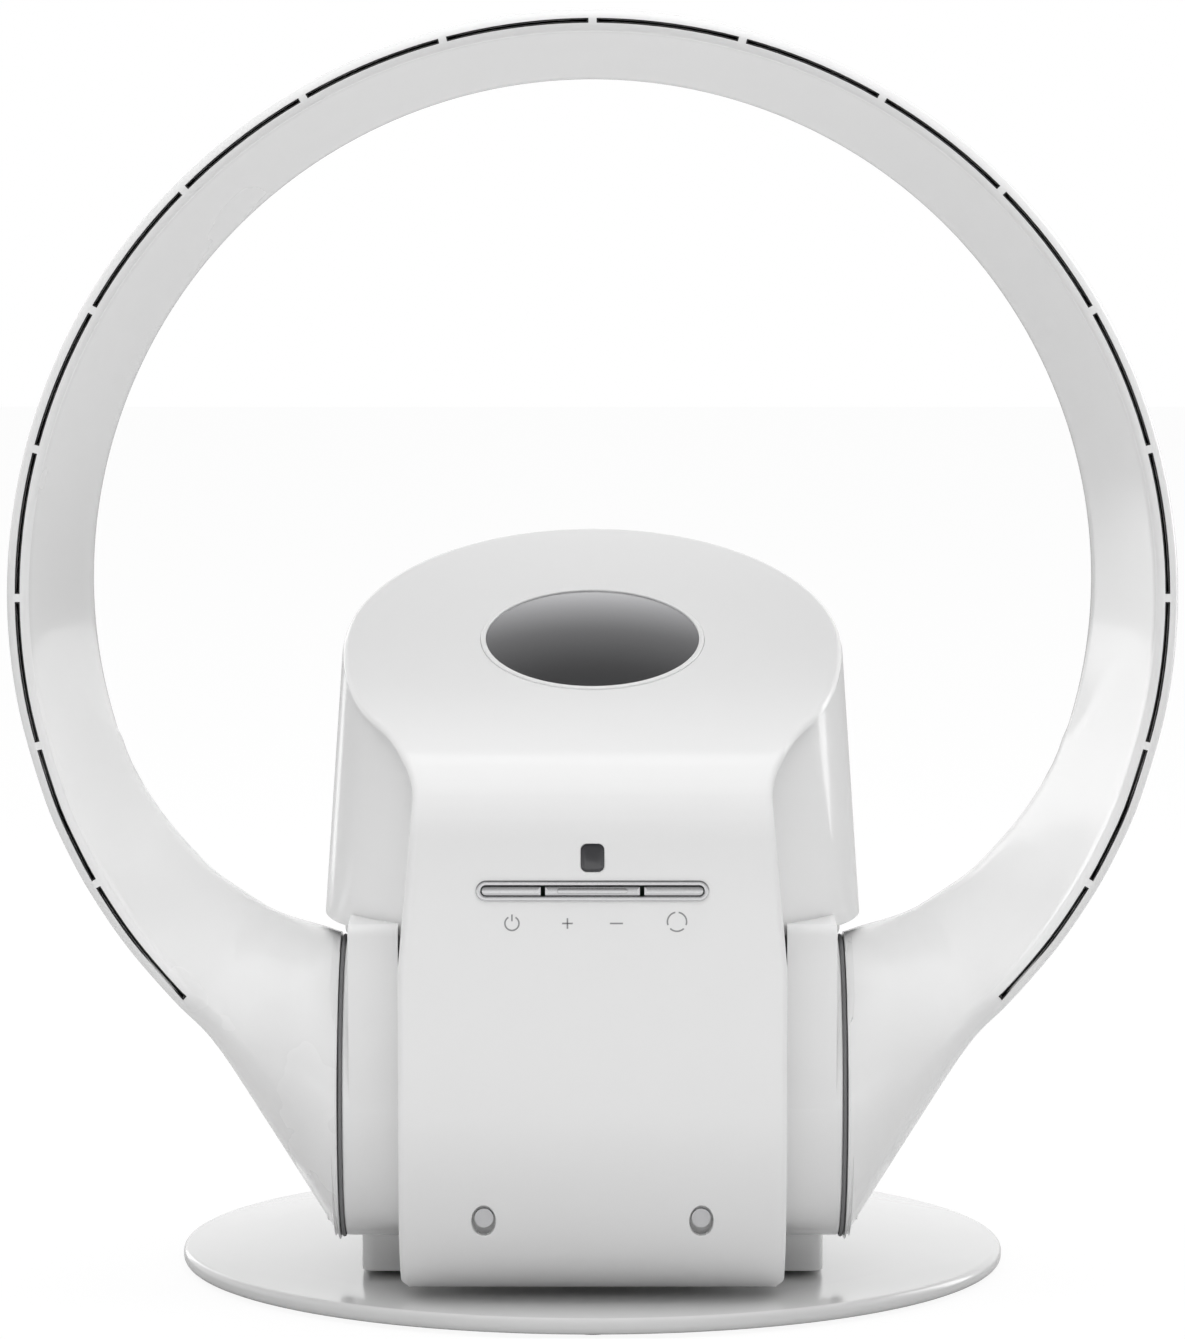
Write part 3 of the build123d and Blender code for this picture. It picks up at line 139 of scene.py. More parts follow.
def moulding_skin():
    """The skin that every moulded plastic here has, as one group: a fine orange-peel height, a
    slow mottle of the tone, and a roughness that wanders with the mottle."""
    group = bpy.data.node_groups.new("moulding_skin", "ShaderNodeTree")
    for side, names in (("INPUT", ("Grain", "Mottle", "Roughness", "Wander", "Depth")),
                        ("OUTPUT", ("Tone", "Roughness", "Height"))):
        for name in names:
            group.interface.new_socket(name, in_out=side, socket_type="NodeSocketFloat")
    given = add_node(group, "NodeGroupInput").outputs
    place = add_node(group, "ShaderNodeTexCoord").outputs["Object"]
    peel, cloud = (add_node(group, "ShaderNodeTexNoise", {
        "Vector": place, "Scale": scale, "Detail": detail,
    }).outputs["Fac"] for scale, detail in ((given["Grain"], 2.0), (given["Mottle"], 4.0)))
    tone = add_node(group, "ShaderNodeMapRange", {"Value": cloud, "To Min": 0.985, "To Max": 1.0})
    sway = add_node(group, "ShaderNodeMath", {0: cloud, 1: 0.5}, operation="SUBTRACT").outputs[0]
    rough = add_node(group, "ShaderNodeMath", {0: sway, 1: given["Wander"], 2: given["Roughness"]},
                     operation="MULTIPLY_ADD")
    height = add_node(group, "ShaderNodeMath", {0: peel, 1: given["Depth"]}, operation="MULTIPLY")
    add_node(group, "NodeGroupOutput", {
        "Tone": tone.outputs["Result"], "Roughness": rough.outputs[0], "Height": height.outputs[0],
    })
    return group


SKIN = moulding_skin()


def plastic(name, colour, rough, grain=900, depth=0.3, wander=0.08, coat=0, metal=0, mottle=14):
    """A moulded or cast finish: its colour broken up by the skin's tone, its gloss by the
    skin's roughness, and a bump of the skin's height."""
    made = bpy.data.materials.new(name)
    made.use_nodes = True
    tree = made.node_tree
    skin = add_node(tree, "ShaderNodeGroup", {
        "Grain": grain, "Mottle": mottle, "Roughness": rough, "Wander": wander, "Depth": depth,
    }, node_tree=SKIN).outputs
    tinted = add_node(tree, "ShaderNodeMix", {"Factor": 1.0, "A": (*colour, 1), "B": skin["Tone"]},
                      data_type="RGBA", blend_type="MULTIPLY")
    bump = add_node(tree, "ShaderNodeBump", {
        "Strength": 0.35, "Distance": 0.05 * mm, "Height": skin["Height"],
    })
    shader = feed(tree.nodes["Principled BSDF"], {
        "Base Color": tinted.outputs["Result"], "Roughness": skin["Roughness"],
        "Normal": bump.outputs["Normal"], "Metallic": metal,
    })
    if coat:
        feed(shader, {"Coat Weight": coat, "Coat Roughness": 0.1})
    return made


white = plastic("white_gloss", (0.87, 0.87, 0.87), rough=0.3, coat=0.7)
base_white = plastic("base_gloss", (0.67, 0.67, 0.67), rough=0.25, coat=1.0)
base_low, base_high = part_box("base_plate")
base_r = base_high.x
edge_top = base_low.z + 6.0 * mm
nose = 2.4 * mm
# radii of the skirt, the weight's seat, the boss in its middle and the axle's bore
skirt_r, weight_r, boss_r, axle_r = 148.05 * mm, 128.05 * mm, 25.05 * mm, 14.05 * mm
weight_z = base_low.z + 1.2 * mm
seat_z, boss_z = weight_z + 2.65 * mm, weight_z + 4.6 * mm
profile = [(skirt_r, weight_z), (skirt_r, base_low.z)]
profile += corner(base_r - nose, base_low.z + nose, nose, -90, 0)
profile += corner(base_r - nose, edge_top - nose, nose, 0, 86)
profile += [
    (base_r * 0.8, edge_top + 0.25 * mm), (40 * mm, base_high.z), (axle_r, base_high.z),
    (axle_r, boss_z), (boss_r, boss_z), (boss_r, seat_z), (weight_r, seat_z), (weight_r, weight_z),
]
piece("base_plate_turned", *turned(profile, 320), base_white, "base", ["base_plate"])


# ---- Pedestal ----
# The block that swings with the fan: a hollow white moulding with round corners and a soft top
# edge, carried 1 mm clear of the base.
def rounded_ring(x0, x1, z0, z1, radii, steps):
    """A closed outline of a rectangle with its own radius at each corner, anticlockwise from
    the lower right one: quarter circles joined by straight runs."""
    centres = ((x1, z0, -90, -1, 1), (x1, z1, 0, -1, -1), (x0, z1, 90, 1, -1), (x0, z0, 180, 1, 1))
    found = []
    for (x, z, start, sx, sz), radius in zip(centres, radii):
        r = max(radius, 0.01 * mm)
        found += corner(x + sx * r, z + sz * r, r, start, start + 90, steps)
    return np.array(found)


def stacked(x0, x1, z0, z1, radii, levels, steps, loop=False):
    """A plate built of rings: each level is (inset, height), and its ring is the outline with
    all sides and radii drawn in by the inset. Open ends are closed with one flat face."""
    rings = []
    for inset, height in levels:
        ring = rounded_ring(x0 + inset, x1 - inset, z0 + inset, z1 - inset,
                            [r - inset for r in radii], steps)
        rings.append(np.insert(ring, 2, height, axis=1))
    count = len(rings[0])
    faces = [list(f) for f in quads_between(len(rings), count, loop, True)]
    if not loop:
        last = (len(rings) - 1) * count
        faces += [list(range(count))[::-1], list(range(last, last + count))]
    return np.concatenate(rings), faces


ped_low, ped_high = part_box("pedestal")
ped_edge, ped_corner = 3 * mm, 5 * mm
foot = ((2.2, 0), (0.7, 0), (0.2, 0.2), (0, 0.7))
levels = [(inset * mm, ped_low.z + up * mm) for inset, up in foot]
levels += [(ped_edge - c, z) for c, z in corner(0, ped_high.z - ped_edge, ped_edge, 0, 90, 8)]
levels += [(40 * mm, ped_high.z)]
block = stacked(ped_low.x, ped_high.x, ped_low.y, ped_high.y, [ped_corner] * 4, levels, 10)
piece("pedestal_block", *block, white, "head", ["pedestal"])


# ---- Barrel ----
# The cross tube that the ring turns about: a white moulding with softened ends, the short air
# stub that rises from it to the pod, and a flat-fronted shoulder on each side of the cover.
TILT_Y, TILT_Z, POD_Y = -72 * mm, 78.5 * mm, -50 * mm
AXIS = (0, TILT_Y, TILT_Z)
barrel_r, barrel_bore, soft = 55 * mm, 49.6 * mm, 0.9 * mm
barrel_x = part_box("barrel_housing")[1].x
profile = [(barrel_bore, barrel_x), (barrel_bore, -barrel_x)]
for end, start in ((-barrel_x + soft, 180), (barrel_x - soft, 90)):
    profile += [(r, x) for x, r in corner(end, barrel_r - soft, soft, start, start - 90)]
piece("barrel_tube", *turned(profile, 256, "x", AXIS), white, "head", ["barrel_housing"])
stub_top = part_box("pod_floor")[0].z - 2.1 * mm
stub_bore, stub_r = 49 * mm, 51.5 * mm
profile = [(stub_bore, stub_top), (stub_bore, TILT_Z), (stub_r, TILT_Z), (stub_r, stub_top)]
piece("air_stub", *turned(profile, 160, "z", (0, TILT_Y, 0)), white, "head")
DECK_NEAR, DECK_FAR, DECK_EDGE, DECK_SOFT = 69.9 * mm, 88 * mm, 4 * mm, 0.8 * mm
DECK_CHAMFER, DECK_FOOT = 0.6 * mm, TILT_Z - 33 * mm
DECK_SINK = 0.0009  # metres per square radian that the lower front sinks into the barrel
deck_top, deck_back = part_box("barrel_housing")[1].z, -30.3 * mm
pod_foot, pod_under = 99.13 * mm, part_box("pod_floor")[0].z - 0.3 * mm


def deck_grid(side):
    """One shoulder: columns from the cover to the end, rows up the barrel's front and the flat
    front, over the rounded edge and back to where the round seat of the pod starts, then down
    that seat and back under the pod. The seat's depth is y = pod y - sqrt(foot^2 - x^2)."""
    turns = radians([-36, -28, -20, -12, -6])
    xs = np.concatenate([
        np.linspace(DECK_NEAR, DECK_FAR - DECK_SOFT, 12), [DECK_FAR - DECK_SOFT * 0.3, DECK_FAR],
    ])
    sink = np.concatenate([np.zeros(12), [DECK_SOFT * 0.28, DECK_SOFT]])
    front, rim = TILT_Y - barrel_r, deck_top - DECK_EDGE
    grid = []
    for x, drop in zip(xs, sink):
        seat = POD_Y - np.sqrt(pod_foot**2 - x**2)
        line = [(TILT_Y - (barrel_r - drop - DECK_SINK * a * a) * cos(a),
                 TILT_Z + barrel_r * sin(a)) for a in turns]
        line += [(front + drop, TILT_Z + f * (rim - TILT_Z)) for f in (0, 0.3, 0.6, 1.0)]
        line += [(y, z - drop) for y, z in corner(front + DECK_EDGE, rim, DECK_EDGE, 180, 90, 8)]
        near = max(seat - DECK_CHAMFER, front + DECK_EDGE + 0.2 * mm)
        step = near + DECK_CHAMFER
        line += [(near, deck_top - drop), (step, deck_top - drop - DECK_CHAMFER),
                 (step, pod_under), (deck_back, pod_under), (deck_back, DECK_FOOT)]
        grid.append([(side * x, y, z) for y, z in line])
    return np.array(grid)


for side, name in ((-1, "left"), (1, "right")):
    grid = deck_grid(side)
    faces = [list(f) for f in quads_between(*grid.shape[:2], wrap_cols=True)[:, ::side]]
    total, count = grid.size // 3, grid.shape[1]
    ends = [list(range(count))[::-side], list(range(total - count, total))[::side]]
    piece(f"deck_{name}", grid, faces + ends, white, "head")


# ---- Tilt seals ----
# A soft dark grey ring in the gap at each end of the barrel. Each is an extruded lip seal, so
# its outer edge is round.
seal_grey = plastic("seal_rubber", (0.19, 0.19, 0.195), rough=0.62, grain=2600.0, depth=0.8)
for side in ("left", "right"):
    low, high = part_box(f"tilt_seal_{side}")
    lip, mid = (high.x - low.x) / 2, (high.x + low.x) / 2
    edge_r, seal_bore = (high.z - low.z) / 2, 48.3 * mm
    profile = [(seal_bore, high.x), (seal_bore, low.x)]
    profile += [(r, x) for x, r in corner(mid, edge_r - lip, lip, 180, 0, 10)]
    piece(f"seal_ring_{side}", *turned(profile, 192, "x", AXIS), seal_grey, "head",
          [f"tilt_seal_{side}"])


# ---- Ring ----
# The hollow air ring. Two white mouldings, a front and a rear shell, meet on a fine line near
# the back edge. The rim has eighteen air slots with thin bridges between them, and both legs
# widen into shoulders that end in the round hubs of the barrel.
RING_R, RING_Z, RING_Y = 210 * mm, 262.5 * mm, -122 * mm
RING_DEPTH, RING_THICK, SPLIT = 94 * mm, 25.3 * mm, 86 * mm
RIM_W, HUB_R, HUB_BORE, SEAM_X = 8 * mm, 56.5 * mm, 49.3 * mm, 92 * mm
# angles from the top in degrees: where the plain arch and the slots end, and one slot's pitch
ARCH, SLOT_END, SLOT_PITCH = 100.0, 135.0, 15.0
SLOT_R = 206 * mm
RIB = np.degrees(2.9 * mm / SLOT_R)
# inner edge, outer edge (from the ring's centre, x and z), crown depth, share of the hub's circle
SHOULDER = np.array([
    (163.3, -80.8, 188.3, -93.1, 75.0, 0.0),
    (153.1, -93.5, 179.2, -109.5, 70.0, 0.0),
    (139.9, -106.6, 167.0, -127.3, 64.0, 0.0),
    (124.5, -116.5, 150.4, -146.6, 58.0, 0.0),
    (114.7, -120.9, 137.0, -164.4, 54.0, 0.40),
    (103.0, -124.3, 118.4, -197.0, 51.0, 0.85),
])


def stations():
    """Where each section of the right half lies: rows of inner x, z, outer x, z, crown depth and
    turn. The arch is a circle with a row at both edges of every bridge, and the shoulder
    follows a Catmull-Rom curve through its listed sections."""
    def plain(angle):
        out = np.column_stack([sin(radians(angle)), cos(radians(angle))])
        crown = np.full(len(out), SPLIT - 6 * mm)
        return np.column_stack([out * (RING_R - RING_THICK), out * RING_R, crown, 0 * crown])

    drop = RING_Z - TILT_Z
    hub = [SEAM_X, HUB_R - drop, SEAM_X, -HUB_R - drop, TILT_Y - RING_Y, 1.0]
    keys = np.vstack([plain(ARCH + np.array([-10, 0, 10])), SHOULDER * ([mm] * 5 + [1]), [hub]])
    keys = np.vstack([keys, 2 * keys[-1] - keys[-2]])
    rows = []
    for n in range(1, len(keys) - 2):
        a, b, c, d = keys[n - 1 : n + 3]
        t = np.linspace(0, 1, 60, endpoint=False)[:, None]
        rows.append(0.5 * (2 * b + (c - a) * t + (2 * a - 5 * b + 4 * c - d) * t**2
                           + (3 * b - a - 3 * c + d) * t**3))
    fine = np.vstack([*rows, [keys[-2]]])
    edges = np.concatenate([[n * SLOT_PITCH - RIB / 2, n * SLOT_PITCH + RIB / 2]
                            for n in range(int(SLOT_END / SLOT_PITCH) + 1)])
    edges = np.unique(np.clip(edges, 0, SLOT_END))
    across = fine[:, 2:4] - fine[:, 0:2]
    rim = fine[:, 2:4] - across * (RIM_W / 2) / np.linalg.norm(across, axis=1)[:, None]
    angle = np.degrees(np.arctan2(rim[:, 0], rim[:, 1]))
    wanted = []
    for low, high in zip(edges, edges[1:]):
        steps = 1 if high - low < 2 else 9
        wanted += list(np.linspace(low, high, steps, endpoint=False))
    wanted = np.array(wanted + [SLOT_END])
    on_arch, past = wanted[wanted <= ARCH], wanted[wanted > ARCH]
    joined = np.column_stack([np.interp(past, angle, fine[:, k]) for k in range(6)])
    rest = np.vstack([fine[np.argmax(angle >= SLOT_END) + 4 :: 5], fine[-1:]])
    angles = np.concatenate([on_arch, past, np.full(len(rest), 180.0)])
    return np.vstack([plain(on_arch), joined, rest]), angles


def section(half, crown, turn):
    """One closed section as (across, depth) rows: a half-round nose, a straight inner face back
    to the crown, a rounded back and a straight outer face, blended into the hub's circle by
    turn. The columns where the slot opens are at 77 and 103 degrees of the nose."""
    nose, draw_in = RIM_W / 2, 4 * mm
    out_back, deep = half - draw_in, SPLIT - 2 * mm
    mid = (out_back - half) / 2

    def wave(angles):
        a = np.asarray(angles)
        return a, cos(radians(a)), sin(radians(a))

    a, c, s = wave([0, 15, 30, 45, 60, 70, 77, 90, 103, 110, 120, 135, 150, 165, 180.0])
    parts = [(half - nose + nose * c, nose - nose * s, 20 + 50 * a / 180)]
    f = np.linspace(0, 1, 16)[1:-1]
    parts.append((half - RIM_W + f * (RIM_W - 2 * half), nose + f * (crown - nose), 70 + 110 * f))
    a, c, s = wave(np.linspace(0, 90, 13))
    parts.append((mid - (mid + half) * c, crown + (RING_DEPTH - crown) * s, 180 + a))
    a, c, s = wave(np.linspace(0, 90, 10)[1:])
    parts.append((mid + (out_back - mid) * s, deep + (RING_DEPTH - deep) * c, 270 + 55 * a / 90))
    parts.append((out_back + f * draw_in, deep + f * (nose - deep), 325 + 55 * f))
    across, depth, round_at = np.hstack(parts)
    reach = half + (HUB_R - half) * 0.85 * turn
    _, c, s = wave(round_at)
    return np.column_stack([
        across * (1 - turn) + half * c * turn,
        depth * (1 - turn) + (TILT_Y - RING_Y - reach * s) * turn,
    ])


NOSE, BACK = 15, 29  # how many points a section's nose has, and where its rounded back starts
OUTER_COLS, INNER_COLS, REAR_COLS = 16, 22, 26


def even(chain, count):
    """The points of a chain set out again in equal steps of its own length."""
    size = np.concatenate([[0], np.cumsum(np.linalg.norm(np.diff(chain, axis=0), axis=1))])
    at = np.linspace(0, size[-1], count)
    return np.column_stack([np.interp(at, size, chain[:, k]) for k in range(chain.shape[1])])


def crease(loop, below, crown):
    """Lifts the inner face of a section into a soft ridge, by how many degrees it lies below the
    ring's middle: the ridge grows from 4 degrees on, moves back to 80 mm and is gone by 27."""
    crest = 32 + 3.6 * (below - 7) if below < 18 else 80
    lift = 1.3 * mm * np.clip((below - 4) / 10, 0, 1) * np.clip((27 - below) / 8, 0, 1)
    inner, end = slice(NOSE - 1, BACK + 1), crown / mm + 6
    depth = loop[inner, 1] / mm
    tent = np.minimum((depth - 4) / max(crest - 4, 1), (end - depth) / max(end - crest, 1))
    loop[inner, 0] -= lift * np.clip(tent, 0, 1)


def crossing(loop, k):
    """Where a section passes the split depth, between its points k - 1 and k."""
    p, q = loop[k - 1], loop[k % len(loop)]
    return p + (q - p) * (SPLIT - p[1]) / (q[1] - p[1])


def ring_grid():
    """The skin of the right half as a grid of points, sections by columns, cut into a front and
    a rear run of columns at the split depth, and the angle of each section from the top."""
    rows, angles = stations()
    front, rear = [], []
    for ix, iz, ox, oz, crown, turn in rows:
        run = np.array([ox - ix, oz - iz])
        half = np.linalg.norm(run) / 2
        loop = section(half, crown, min(turn, 1.0))
        crease(loop, np.degrees(np.arctan2(-(iz + oz), ix + ox)), crown)
        cut_in = BACK + np.argmax(loop[BACK:, 1] > SPLIT)
        cut_out = cut_in + np.argmax(loop[cut_in:, 1] < SPLIT)
        first, last = crossing(loop, cut_in), crossing(loop, cut_out)
        head = np.vstack([
            even(np.vstack([last, loop[cut_out:], loop[:1]]), OUTER_COLS)[:-1], loop[:NOSE],
            even(np.vstack([loop[NOSE - 1 : cut_in], first]), INNER_COLS)[1:],
        ])
        back = even(np.vstack([first, loop[cut_in:cut_out], last]), REAR_COLS)
        for columns, kept in ((head, front), (back, rear)):
            kept.append((columns, np.array([ix + ox, iz + oz]) / 2, run / half / 2))
    return front, rear, angles


def in_place(rows):
    """Sections put in space: across along the section's own line, depth along Y."""
    columns, mid, out = (np.stack(part) for part in zip(*rows))
    flat = mid[:, None, :] + columns[..., :1] * out[:, None, :]
    return np.stack([flat[..., 0], RING_Y + columns[..., 1], RING_Z + flat[..., 1]], -1)


def both_halves(grid):
    """The right half's grid with the left one in front of it, mirrored and in reverse order, so
    that the sections run from the left hub over the top to the right hub."""
    left = (grid * [-1, 1, 1])[::-1]
    return np.concatenate([left[:-1], grid])


def hub_end(grid):
    """Each end section becomes four: the skin turns over a small edge onto a flat face round the
    hub, at the seam plane."""
    def closing(row, side):
        away = (row - AXIS) * [0, 1, 1]
        unit = away / np.linalg.norm(away, axis=1)[:, None]
        return np.stack([unit * r + [side * x, TILT_Y, TILT_Z] for r, x in (
            (HUB_R, SEAM_X + 0.7 * mm), (HUB_R - 0.2 * mm, SEAM_X + 0.2 * mm),
            (HUB_R - 0.7 * mm, SEAM_X), (HUB_BORE, SEAM_X),
        )])

    return np.concatenate([closing(grid[0], -1)[::-1], grid[1:-1], closing(grid[-1], 1)])


def with_gaps(grid, wrap_cols=False):
    """The quads of a grid by row and column, and a mask of those to keep, all to begin with."""
    faces = quads_between(*grid.shape[:2], wrap_cols=wrap_cols).reshape(len(grid) - 1, -1, 4)
    return faces, np.ones(faces.shape[:2], bool)


front_rows, rear_rows, angles = ring_grid()
front_grid, rear_grid = (hub_end(both_halves(in_place(rows))) for rows in (front_rows, rear_rows))
halves = np.concatenate([[-180] * 3, -angles[::-1][:-1], angles, [180] * 3])
middle = (halves[:-1] + halves[1:]) / 2
off_bridge = np.abs(middle - SLOT_PITCH * np.round(middle / SLOT_PITCH)) > RIB / 2
slot_from = OUTER_COLS - 1 + 6  # the column of the nose at 77 degrees
faces, keep = with_gaps(front_grid)
keep[off_bridge & (np.abs(middle) < SLOT_END), slot_from : slot_from + 2] = False
ring_white = plastic("ring_gloss", (0.87, 0.87, 0.87), rough=0.26, coat=0.7)
for name, grid, quads in (
    ("front", front_grid, faces[keep]), ("rear", rear_grid, quads_between(*rear_grid.shape[:2])),
):
    shell = piece(f"ring_{name}_skin", grid, quads[:, ::-1], ring_white, "ring",
                  [f"ring_{name}_shell"], wall=2.2 * mm)
    # the wall grown inwards stops at the seam plane, so that the dark seal stays in sight
    for vertex in shell.data.vertices:
        if vertex.co.z < 160 * mm and abs(vertex.co.x) < SEAM_X:
            vertex.co.x = np.copysign(SEAM_X, vertex.co.x)


# ---- Air slot liner ----
# The moulding behind the bridges, coloured near-black as painted shade: its black stands for the
# shadow deep inside the slot. Its walls line the slot, and the dark gap between them is where the
# air leaves. The imported node has the right shape.
# near-black painted shade for the inside of the air slot
slot_painted_shade = plastic("liner_painted_shade", (0.012, 0.012, 0.013), rough=0.55, grain=1800.0, depth=0.6)


# ---- Pod shell ----
# The drafted white drum behind the cover, with the blower in it. Its top follows the sloped lid,
# and a window in its back holds the intake grille.
POD_R, POD_WIDE_Z, POD_FRONT_Y = 92 * mm, 241 * mm, -134 * mm
POD_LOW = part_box("pod_shell")[0].z
DRAFT, SLOPE = np.tan(radians(3.87)), radians(21.6)
WINDOW_LOW, WINDOW_HIGH, WINDOW_HALF = 158 * mm, 230 * mm, 62.0
LID_DROP = 3.05 * mm / cos(SLOPE)


def pod_radius(z):
    """The drum's radius at a height: it loses its draft with every millimetre up."""
    return POD_R + (POD_WIDE_Z - z) * DRAFT


def lid_z(y):
    """Height of the sloped top surface at a depth."""
    return POD_WIDE_Z + (y - POD_Y) * np.tan(SLOPE)


# the turned-in foot of the drum: how far each row lies inside its side, and how high
POD_FOOT = np.array([(2.5, 0.0), (0.8, 0.0), (0.4, 0.1), (0.1, 0.4), (0.0, 0.8)]) * mm


def pod_grid():
    """The drum as rows from its turned-in foot to its slanted top, by columns round it from the
    back. Where the rim of a column meets the lid comes from height = lid(depth), solved by
    repeating it."""
    side = np.concatenate([np.linspace(0, WINDOW_HALF, 31), np.linspace(WINDOW_HALF, 180, 60)[1:]])
    turn = radians(np.concatenate([side, -side[-2:0:-1]]))
    top = np.full(len(turn), POD_WIDE_Z)
    for _ in range(12):
        top = lid_z(POD_Y + pod_radius(top) * cos(turn)) - LID_DROP
    low = np.full(len(turn), WINDOW_LOW)
    high = np.minimum(WINDOW_HIGH, WINDOW_LOW + (top - WINDOW_LOW) * 0.8)
    rows = [np.full(len(turn), POD_LOW + up) for _, up in POD_FOOT]
    for start, end, steps in ((rows[-1], low, 4), (low, high, 10), (high, top, 4)):
        rows += [start + f * (end - start) for f in np.linspace(0, 1, steps + 1)[1:]]
    z = np.stack(rows)
    radius = pod_radius(z)
    radius[: len(POD_FOOT)] -= POD_FOOT[:, :1]
    y = np.maximum(POD_Y + radius * cos(turn), POD_FRONT_Y)
    return np.stack([radius * sin(turn), y, z], -1)


grid = pod_grid()
faces, keep = with_gaps(grid, wrap_cols=True)
# the window: 30 columns each way from the back, and the ten rows between its two heights
keep[8:18, :30] = keep[8:18, -30:] = False
piece("pod_drum", grid, faces[keep], white, "head", ["pod_shell"], wall=2.4 * mm)


# ---- Pod floor ----
# The white plate that closes the pod from below. It is round with two flat sides, so that it
# passes between the shoulders of the ring.
floor_low, floor_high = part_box("pod_floor")
turn = radians(np.linspace(0, 360, 240, endpoint=False))
plate_r, flat, duct_r = POD_Y - floor_low.y, floor_high.x, 49.3 * mm
# a circle cut by two flats, its corners eased by a power mean of the two distances
to_flat = flat / np.maximum(np.abs(cos(turn)), 0.01)
outline = (plate_r**-60.0 + to_flat**-60.0) ** (-1 / 60)


def floor_ring(radius, middle_y, up):
    """A closed row of points by angle about a middle, at a height in millimetres."""
    x, y = radius * cos(turn), middle_y + radius * sin(turn)
    return np.column_stack([x, y, np.full(len(turn), floor_low.z + up * mm)])


levels = ((1.2, 0.0), (0.35, 0.35), (0.0, 1.2), (0.0, 4.4))
points = np.stack([
    floor_ring(duct_r, TILT_Y, 0.0),
    *[floor_ring(outline - inset * mm, POD_Y, up) for inset, up in levels],
    floor_ring(duct_r, TILT_Y, 4.4),
])
faces = quads_between(*points.shape[:2], True, True)
piece("pod_floor_plate", points, faces, white, "head", ["pod_floor"])


# ---- Rear column ----
# The back half of the body between pedestal and pod: a white moulded wall bent round the duct,
# with flat sides.
col_low, col_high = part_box("rear_column")
col_r = col_high.y - POD_Y
meets = POD_Y + np.sqrt(col_r**2 - col_high.x**2)
start = np.degrees(np.arctan2(meets - POD_Y, col_high.x))
arc = corner(0, POD_Y, col_r, start, 180 - start, 72)
side = [(col_high.x, col_low.y), (col_high.x, (col_low.y + meets) / 2)]
wall_line = np.array(side + arc + [(-x, y) for x, y in side[::-1]])
heights = np.linspace(ped_high.z - 0.5 * mm, floor_low.z, 9)
points = np.stack([np.insert(wall_line, 2, z, axis=1) for z in heights])
faces = quads_between(*points.shape[:2])[:, ::-1]
piece("rear_wall", points, faces, white, "head", ["rear_column"], wall=2.5 * mm)


# ---- Front cover ----
# One long white moulding: it starts under the barrel, runs up the front, bends over and ends as
# the sloped round lid of the pod. It has two oval screw wells, the openings of the controls and
# the seat of the badge.
COVER_R, COVER_LIP, BEND_R = 79 * mm, 59.2, 34 * mm
COVER_HALF, WAIST_HALF, WAIST_Z, STRAIGHT_Z = 69.5 * mm, 64 * mm, 193 * mm, 130 * mm
FRONT_Y = TILT_Y - COVER_R
BEND_REACH = BEND_R * np.tan((np.pi / 2 - SLOPE) / 2)
BEND_Z = lid_z(FRONT_Y) - BEND_REACH
RUN_ARC = COVER_R * radians(COVER_LIP)
RUN_UP = RUN_ARC + BEND_Z - TILT_Z
RUN_BEND = RUN_UP + BEND_R * (np.pi / 2 - SLOPE)
LID_START_Y = FRONT_Y + BEND_REACH * cos(SLOPE)
BACK_Y = POD_Y + POD_R / (1 + DRAFT * np.tan(SLOPE))
RUN_END = RUN_BEND + (BACK_Y - LID_START_Y) / cos(SLOPE)
ROUND = 2.6 * mm


def cover_line(s):
    """The cover's side view by length along it: an arc round the barrel's axis, a straight rise,
    a bend and the sloped lid. Gives y, z and the outward normal's y, z."""
    s = np.asarray(s, float)
    low = radians(COVER_LIP) - s / COVER_R
    bend = (s - RUN_UP) / BEND_R
    on_lid = s - RUN_BEND
    zone = [s < RUN_ARC, s < RUN_UP, s < RUN_BEND]
    y = np.select(zone, [TILT_Y - COVER_R * cos(low), FRONT_Y, FRONT_Y + BEND_R * (1 - cos(bend))],
                  LID_START_Y + on_lid * cos(SLOPE))
    z = np.select(zone, [TILT_Z - COVER_R * sin(low), TILT_Z + s - RUN_ARC,
                         BEND_Z + BEND_R * sin(bend)],
                  lid_z(LID_START_Y) + on_lid * sin(SLOPE))
    ny = np.select(zone, [-cos(low), -1, -cos(bend)], -sin(SLOPE))
    nz = np.select(zone, [-sin(low), 0, sin(bend)], cos(SLOPE))
    return y, z, ny, nz


def cover_half(s):
    """The cover's half width by length along it: straight, drawn in to the waist, an S of two
    equal arcs out to the widest point, then the pod's circle."""
    y, z, _, _ = cover_line(s)
    rise, step = (POD_WIDE_Z - WAIST_Z) / 2, (POD_R - WAIST_HALF) / 2
    bow = (rise**2 + step**2) / (2 * step)
    taper = COVER_HALF + (WAIST_HALF - COVER_HALF) * (z - STRAIGHT_Z) / (WAIST_Z - STRAIGHT_Z)
    up = np.clip(z - WAIST_Z, 0, rise)
    down = np.clip(POD_WIDE_Z - z, 0, rise)
    flare = WAIST_HALF + bow - np.sqrt(bow**2 - up**2)
    neck = POD_R - bow + np.sqrt(bow**2 - down**2)
    circle = np.sqrt(np.maximum(pod_radius(z) ** 2 - (y - POD_Y) ** 2, 0))
    zone = [z < STRAIGHT_Z, z < WAIST_Z, z < WAIST_Z + rise, z < POD_WIDE_Z]
    return np.select(zone, [COVER_HALF, taper, flare, neck], circle)


def on_cover(s, x, deep=0.0):
    """Points of the cover's face at length s and side x, sunk below the face by deep."""
    y, z, ny, nz = cover_line(s)
    return np.stack([x + 0 * y, y - deep * ny, z - deep * nz], -1)


